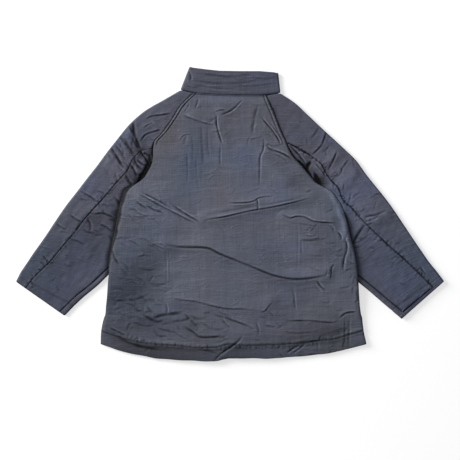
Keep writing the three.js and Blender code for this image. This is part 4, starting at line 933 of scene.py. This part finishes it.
for side, *strewn in (
        ("left", 16, 21, (-430, -300, -90, 70), -22, 20, (12, 34), (0.5, 1.4)),
        ("left", 14, 22, (-330, -230, 60, 220), -58, 14, (14, 40), (0.5, 1.4)),
        ("left", 14, 23, (-520, -380, -200, -60), -30, 30, (12, 30), (0.4, 1.1)),
        ("left", 8, 24, (-225, -150, 190, 300), -20, 24, (12, 30), (0.3, 0.8)),
        ("right", 18, 25, (320, 440, -110, 60), 24, 26, (12, 34), (0.5, 1.3)),
        ("right", 12, 26, (220, 330, 40, 200), 60, 16, (14, 38), (0.4, 1.1)),
        ("right", 14, 27, (400, 530, -200, -70), 34, 30, (12, 30), (0.4, 1.1)),
        ("right", 8, 28, (140, 240, 180, 280), 30, 40, (12, 30), (0.3, 0.7))):
    SLEEVE_CREASES[side] += scattered(*strewn)

def seam_share(side, outer, above):
    """The share of each section, from the outer fold on, at which the seam down the back of the arm is."""
    line = through(SLEEVES[side]["seam"], 6)
    found = np.ones(len(outer))
    for n, (a, b) in enumerate(zip(outer, above)):
        run = b - a
        for p, q in zip(line[:-1], line[1:]):
            step = q - p
            cross = run[0] * step[1] - run[1] * step[0]
            off = p - a
            s = (off[0] * step[1] - off[1] * step[0]) / cross
            t = (off[0] * run[1] - off[1] * run[0]) / cross
            if 0 <= s <= 1 and 0 <= t <= 1:
                found[n] = s
                break
    return found

def roll_end(row):
    start = np.where(row < ARMPIT, 0, HALF_TURN / 2 + HALF_TURN / 2 * smooth(ARMPIT, ROLLED, row))
    return start + UNDERARM_SEAM * smooth(ROLLED, SEAM_INSIDE, row)

def sleeve_path(side, row, outer, above, below, path):
    """Places on the flattened tubes of a sleeve. path is negative on the upper layer, as minus the distance
    from the outer fold, from 0 to 1 round that fold, and from there on a distance along the lower layer and
    round the inner."""
    upper_run, lower_run = above - outer, below - outer
    upper_width = np.hypot(*upper_run.T)[:, None] - SEAM_GAP / 2
    lower_width = np.hypot(*lower_run.T)[:, None] - SEAM_GAP / 2
    upper_way = (upper_run / np.hypot(*upper_run.T)[:, None])[:, None, :]
    lower_way = (lower_run / np.hypot(*lower_run.T)[:, None])[:, None, :]
    flat_row = (row < ARMPIT)[:, None]
    on_upper, in_fold = path < 0, (path >= 0) & (path <= 1)
    past = path - 1
    lower_flat = lower_width - np.where(flat_row, 0, FOLD_EDGE) - FOLD_EDGE
    rolled = past - lower_flat
    rolling = ~on_upper & ~in_fold & (rolled > 0) & ~flat_row
    turn = np.clip(rolled / FOLD_RADIUS, 0, np.pi)
    beyond = np.maximum(rolled - HALF_TURN, 0)
    parts = [on_upper, in_fold, rolling]
    angle = np.select(parts, [np.pi / 2 + 0 * path, np.pi / 2 + np.pi * np.clip(path, 0, 1),
                              -np.pi / 2 + turn], -np.pi / 2)
    along = np.select(parts, [-path, FOLD_EDGE + FOLD_RADIUS * np.cos(angle),
                              lower_width - FOLD_EDGE + FOLD_RADIUS * np.sin(turn) - beyond],
                      FOLD_EDGE + past)
    z = np.select(parts, [HIGH + 0 * path, (LOW + HIGH) / 2 + FOLD_RADIUS * np.sin(angle),
                          LOW + FOLD_RADIUS * (1 - np.cos(turn))], LOW)
    use_upper = (on_upper | (in_fold & (path < 0.5)) | (rolling & (turn > 3)))[..., None]
    way = np.where(use_upper, upper_way, lower_way)
    place = outer[:, None, :] + way * along[..., None]
    x, y = place[..., 0], place[..., 1]
    out = np.concatenate([way * np.cos(angle)[..., None], np.sin(angle)[..., None]], -1)
    top = np.clip(np.sin(angle), 0, 1)
    outside = np.where(y < RAGLAN_FOOT, (x - body_edge(side, y)) * SIDES[side], upper_width - along)
    clear = np.minimum(upper_width - along, outside)
    hump = ridged(SLEEVE_FOLDS[side], x, y) * smooth(2, 26, along) * smooth(2, 26, clear) * top
    return x, y, z + hump, out, top, clear

CLEFT_REACH = {"left": (8, 6), "right": (5, 3)}   # of the cleft beside the body, widest and least
CLEFT_DEPTH = 2.4
# How much shade is painted into the cleft beside the body and into the armpits' hollows.
BESIDE_DARK = {"left": 0.93, "right": 0.8}
POCKET_DEPTH = 3.0
HOLLOW_SHADE = 0.94

def sleeve_relief(side, x, y, row, top, from_seam, clear):
    cuff_away = (CUFF - row)[:, None] * SECTION_LENGTH - CUFF_DEPTH
    tucked = smooth(-6, 6, clear)
    relief, cleft = creased(SLEEVE_CREASES[side], x, y)
    relief *= top * tucked
    seed = 30 if side == "left" else 40
    loose = rumpled(x, y, (0.7, 58, 40, seed), (0.2, 12, 9, seed + 2))
    loose += 0.5 * uneven(x + y, x - y, 30, 15, seed + 1)
    relief += loose * smooth(0, 8, from_seam) * (0.3 + 0.7 * top) * np.where(top > 0.1, tucked, 0.4)
    relief += 0.8 * uneven(x + y, x - y, 13, 60, seed + 3) * np.exp(-from_seam / 10) * top * tucked
    relief -= 1.0 * np.exp(-(cuff_away / 2.4) ** 2) * (0.4 + 0.6 * top)
    relief += 0.5 * uneven(x, y, 12, 12, seed + 4) * np.exp(-np.abs(cuff_away) / 10) * top
    # beside the body's edge the sleeve sinks away into a cleft, painted dark with shade
    outside = (x - body_edge(side, y)) * SIDES[side]
    widest, least = CLEFT_REACH[side]
    reach = (least + (widest - least) * smooth(-60, 30, y)) * (1 + 0.4 * uneven(x, y, 30, 22, seed + 5))
    beside = top / (1 + (np.clip(outside, 0, None) / reach) ** 4)
    beside *= smooth(RAGLAN_FOOT, RAGLAN_FOOT - 50, y) * smooth(-182, -150, y)
    if side == "right":
        flows_over = smooth(84, 66, y) * smooth(-12, 12, y)
        beside *= (1 - 0.95 * flows_over) * (1 - 0.4 * smooth(-50, -90, y))
        filled = smooth(-1, 3, outside) * np.exp(-(np.clip(outside, 0, None) / 14) ** 2)
        relief += 3.6 * flows_over * filled * top
    relief -= CLEFT_DEPTH * beside * tucked
    # the armpits' hollows sink in and are painted near black with shade
    hollow = pocketed(POCKETS[side], x, y) * (top > 0.5)
    relief -= POCKET_DEPTH * hollow
    # Painted shade along the seams, less near the left cuff away from the underarm strip, in the creases'
    # clefts, at the cuffs' ends, where the cloth turns down from the top and in the cuff's stitched groove;
    # SLEEVE_DARKER adds painted shade and light.
    seam_shade = 0.68 + 0.26 * uneven(row[:, None] * SECTION_LENGTH, 0 * y, 17, 100, seed + 7)
    if side == "left":
        seam_shade = seam_shade * (1 - 0.6 * smooth(12.6, 15, row[:, None]) * (clear > 2 * UNDERARM_SEAM))
    shade = 1 - CREASE_DARK * np.clip(cleft, None, 1) * top
    shade *= 1 - seam_shade * np.exp(-(from_seam / 2.6) ** 2) * top
    shade *= (1 - BESIDE_DARK[side] * beside) * (1 - HOLLOW_SHADE * hollow)
    to_cuff = np.minimum(row, CUFF - row)[:, None] * SECTION_LENGTH
    shade *= 1 - 0.45 * np.exp(-to_cuff / 3.0) * (row[:, None] > 8)
    shade *= 0.62 + 0.38 * smooth(0.2, 1.0, top)
    shade *= (1 - 0.3 * np.exp(-(cuff_away / 2.2) ** 2)) * darkened(x, y, SLEEVE_DARKER[side])
    shade *= 1 + 0.06 * uneven(x, y, 60, 30, seed + 6)
    return np.where(top > 0.05, relief, np.minimum(relief, 0)), shade

def sections(side, row):
    """Where each section meets the outer fold, and where its upper and its lower layer end."""
    outer = at_row(SLEEVES[side]["outer"], row)
    return outer, section_end(side, "above", row), section_end(side, "below", row)

def sleeve_cloth(half, colour, side, row, path, places, from_seam, turned):
    x, y, z, out, top, clear = places
    to_ends = np.minimum(row - (row[0] if half == "under" else 0), CUFF - row)[:, None] * SECTION_LENGTH
    thick = puffed(np.minimum(from_seam, to_ends), SEAM_ROUND)
    relief, shade = sleeve_relief(side, x, y, row, top, from_seam, clear)
    grain = np.stack([path, np.repeat(row[:, None] * SECTION_LENGTH, path.shape[1], 1)], -1)
    middle = np.stack([x, y, z], -1)
    return cloth_wall(f"{half}_sleeve_{side}", colour, middle, out, thick, relief, grain, shade, turned)

for side in SIDES:
    # the over sleeve
    row = np.concatenate([[0, 0.02, 0.06], np.linspace(0.12, 15.9, 262), [15.95, 15.98, 16]])
    outer, above, below = sections(side, row)
    share = np.where(row < BODY_CORNER, 1, seam_share(side, outer, above))
    upper_width = np.hypot(*(above - outer).T) - SEAM_GAP / 2
    lower_width = np.hypot(*(below - outer).T) - SEAM_GAP / 2
    seam_at = (upper_width * share - np.where(share < 1, SEAM_GAP / 2, 0))[:, None]
    upper = np.concatenate([[0, 0.008, 0.02], np.linspace(0.035, 1, 56)])[None, :]
    on_top = -(seam_at + (FOLD_EDGE + 0.01 - seam_at) * upper)
    round_fold = np.repeat(np.linspace(0, 1, 9)[None, :], len(row), 0)
    lower_end = (lower_width - np.where(row < ARMPIT, 0, FOLD_EDGE) - FOLD_EDGE)[:, None]
    lower = 1 + lower_end * np.linspace(0.06, 0.96, 16)[None, :]
    last = lower_end + roll_end(row)[:, None]
    rolled = 1 + lower_end * 0.96 + (last - lower_end * 0.96) * np.linspace(0, 1, 13)[None, 1:]
    path = np.hstack([on_top, round_fold, lower, rolled])
    places = sleeve_path(side, row, outer, above, below, path)
    from_seam = np.select([path < 0, path <= 1], [seam_at + path, 99], np.maximum(1 + last - path, 0))
    over = sleeve_cloth("over", OVER_SLEEVE_COLOUR, side, row, path, places, from_seam, side == "right")
    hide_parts(f"over_sleeve_{side}")
    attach(over, "root")

    # the under sleeve
    first = row[np.argmax(share < 0.985)]
    row = np.concatenate([first + np.array([0, 0.02, 0.06]), np.linspace(first + 0.1, 15.9, 200),
                          [15.95, 15.98, 16]])
    outer, above, below = sections(side, row)
    share = seam_share(side, outer, above)
    upper_width = np.hypot(*(above - outer).T) - SEAM_GAP / 2
    start = (upper_width * share + SEAM_GAP / 2)[:, None]
    inner_fold = np.where(row < ARMPIT, 0, FOLD_EDGE + np.maximum(roll_end(row) - HALF_TURN, 0))
    stop = (upper_width - inner_fold - SEAM_GAP)[:, None]
    across = np.concatenate([[0, 0.012, 0.03], np.linspace(0.05, 0.95, 44), [0.97, 0.988, 1]])[None, :]
    path = -(start + (stop - start) * across)
    x, y, z, out, top, clear = sleeve_path(side, row, outer, above, below, path)
    # at the armpit its edge turns down round the fold to meet the over sleeve
    short = np.where(row < ARMPIT, 0, np.maximum(HALF_TURN - roll_end(row), 0))[:, None]
    z = z - (across > 0.99) * np.minimum(short, FOLD_RADIUS)
    from_seam = np.minimum(-path - start, stop + path)
    places = x, y, z, out, top, clear
    under = sleeve_cloth("under", UNDER_SLEEVE_COLOUR, side, row, path, places, from_seam, side == "left")
    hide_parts(f"under_sleeve_{side}")
    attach(under, "root")

# ---- Collar ----------------------------------------------------------------------------------------------
# A stand of padded cloth, sewn round the neck from one front's edge to the other's. Laid flat it doubles on
# itself at the sides of the neck, so its back half lies over its front halves.
# The collar is of the body's cloth; its darker colour is painted shade.
COLLAR_COLOUR = (0.0350, 0.0367, 0.0488)
COLLAR = [  # foot, head, height of the cloth's middle, outward tilt in quarter turns up from level
    ((40, FRONT_NECK), (40, 290), HIGH, -1), ((0, FRONT_NECK), (3, 288), HIGH, -1),
    ((-38, FRONT_NECK), (-33, 288), HIGH, -1), ((-76, None), (-56, 300), LOW, -1),
    ((-94, None), (-72, 315), LOW, -1), ((-111, 283), (-88, 343), LOW, -1),
    ((-120, 308), (-98, 370), LOW, -1), ("left", 0, 0, 0), ((-117, 320.5), (-95, 381), HIGH, 1),
    ((-80, 313.5), (-64, 377), HIGH, 1), ((-32, 310.7), (-26, 373), HIGH, 1),
    ((26, 309), (26, 372), HIGH, 1), ((80, 308.5), (78, 372), HIGH, 1), ((120, 313), (116, 369), HIGH, 1),
    ("right", 0, 0, 0), ((126, 303), (118, 356), LOW, -1), ((118, 281), (98, 334), LOW, -1),
    ((98, None), (76, 310), LOW, -1), ((74, None), (56, 298), LOW, -1),
    ((30, FRONT_NECK), (22, 288), LOW, -1), ((-40, FRONT_NECK), (-40, 288), LOW, -1)]
COLLAR_SIDES = {"left": ((-128, 323), (-104, 384)), "right": ((133, 315), (127, 368))}
COLLAR_CREASES = [
    (1.3, 1.3, 3.0, 1, [(-96, 352), (-60, 343), (-10, 340), (40, 343), (84, 350)]),
    (1.2, 1.1, 2.4, 1, [(-98, 338), (-60, 331), (-20, 327), (20, 326)]),
    (1.4, 1.2, 3.0, 1, [(-80, 366), (-40, 361), (0, 358), (50, 360)]),
    (1.1, 1.0, 2.4, 1, [(20, 333), (70, 334), (116, 342)]),
    (1.5, 1.0, 2.4, 1, [(-106, 372), (-100, 358), (-102, 344)]),
    (1.1, 1.0, 2.6, 1, [(60, 356), (92, 352), (118, 356)]),
    (1.4, 1.0, 2.3, 1, [(-112, 334), (-92, 330), (-76, 332)]),
    (1.2, 1.0, 2.3, 1, [(-94, 347), (-76, 344), (-60, 346)]),
    (0.9, 0.8, 2.3, 1, [(-60, 322), (-30, 318), (10, 318)]),
]
COLLAR_CREASES += scattered(14, 31, (-95, 110, 320, 368), 2, 10, (14, 40), (0.3, 0.9))
stations = []
for foot, head, height, tilt in COLLAR:
    if foot in COLLAR_SIDES:
        sign = SIDES[foot]
        low_end, high_end = (np.array(p, float) for p in COLLAR_SIDES[foot])
        rise = (high_end - low_end) / np.hypot(*(high_end - low_end))
        way = np.array([rise[1], -rise[0]]) * sign
        for k in range(9):
            turn = -sign * (np.pi * k / 8 - np.pi / 2)
            shift = way * (FOLD_RADIUS * np.cos(turn) - FOLD_EDGE)
            stations.append((low_end + shift, high_end + shift, (LOW + HIGH) / 2 + FOLD_RADIUS * np.sin(turn),
                             (*(way * np.cos(turn)), np.sin(turn))))
    else:
        foot_y = front_neck(np.array(float(foot[0]))) if foot[1] is None else foot[1]
        stations.append((np.array([foot[0], float(foot_y)]), np.array(head, float), height, (0, 0, tilt)))
foot, head, height, out = (np.array([s[k] for s in stations], float) for k in range(4))
foot = foot + 0.7 * (head - foot) / np.hypot(*(head - foot).T)[:, None]
steps = np.hypot(*np.diff((foot + head) / 2, axis=0).T) + np.abs(np.diff(height)) + 0.2
span = np.concatenate([[0], np.cumsum(steps)])
fine = np.unique(np.concatenate([span, np.linspace(0, span[-1], 230)]))
spread = lambda values: np.stack([np.interp(fine, span, values[:, k]) for k in range(values.shape[1])], -1)
foot, head, out, height = spread(foot), spread(head), spread(out), np.interp(fine, span, height)
out /= np.linalg.norm(out, axis=1)[:, None]
up = np.concatenate([[0, 0.015, 0.035], np.linspace(0.07, 0.93, 20), [0.965, 0.985, 1]])
place = foot[:, None, :] + (head - foot)[:, None, :] * up[None, :, None]
x, y = place[..., 0], place[..., 1]
tall = np.hypot(*(head - foot).T)[:, None]
inward = np.minimum(np.minimum(up, 1 - up)[None, :] * tall, np.minimum(fine, fine[-1] - fine)[:, None])
thick = puffed(inward, COLLAR_ROUND)
out = np.repeat(out[:, None, :], len(up), 1)
top = np.clip(out[..., 2], 0, 1)
relief, cleft = creased(COLLAR_CREASES, x, y)
relief *= top
relief += rumpled(x, y, (0.9, 60, 15, 51), (0.5, 26, 8, 52)) * smooth(0, 8, inward) * top
# The upper edge is stitched a little way in.
from_foot, from_head = up[None, :] * tall, (1 - up)[None, :] * tall
relief += top * (0.7 * np.exp(-((from_head - 7) / 2.6) ** 2) - 0.8 * np.exp(-((from_head - 4) / 1.6) ** 2))
# Painted shade in the creases' clefts, a little over the upward faces, in the groove of the stitching and at
# the foot against the body.
shade = (1 - 0.7 * cleft * top) * (1 - 0.12 * top) * (1 + 0.08 * uneven(x, y, 70, 24, 53))
shade *= (1 - 0.35 * np.exp(-np.abs(from_head - 4) / 1.6) * top) * (1 - 0.5 * np.exp(-from_foot / 2.2))
middle = np.concatenate([place, np.repeat(height[:, None, None], len(up), 1)], -1)
grain = np.stack([np.repeat(fine[:, None], len(up), 1), from_foot], -1)
collar = cloth_wall("collar", COLLAR_COLOUR, middle, out, thick, relief, grain, shade, turned=True)
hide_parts("collar")
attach(collar, "root")
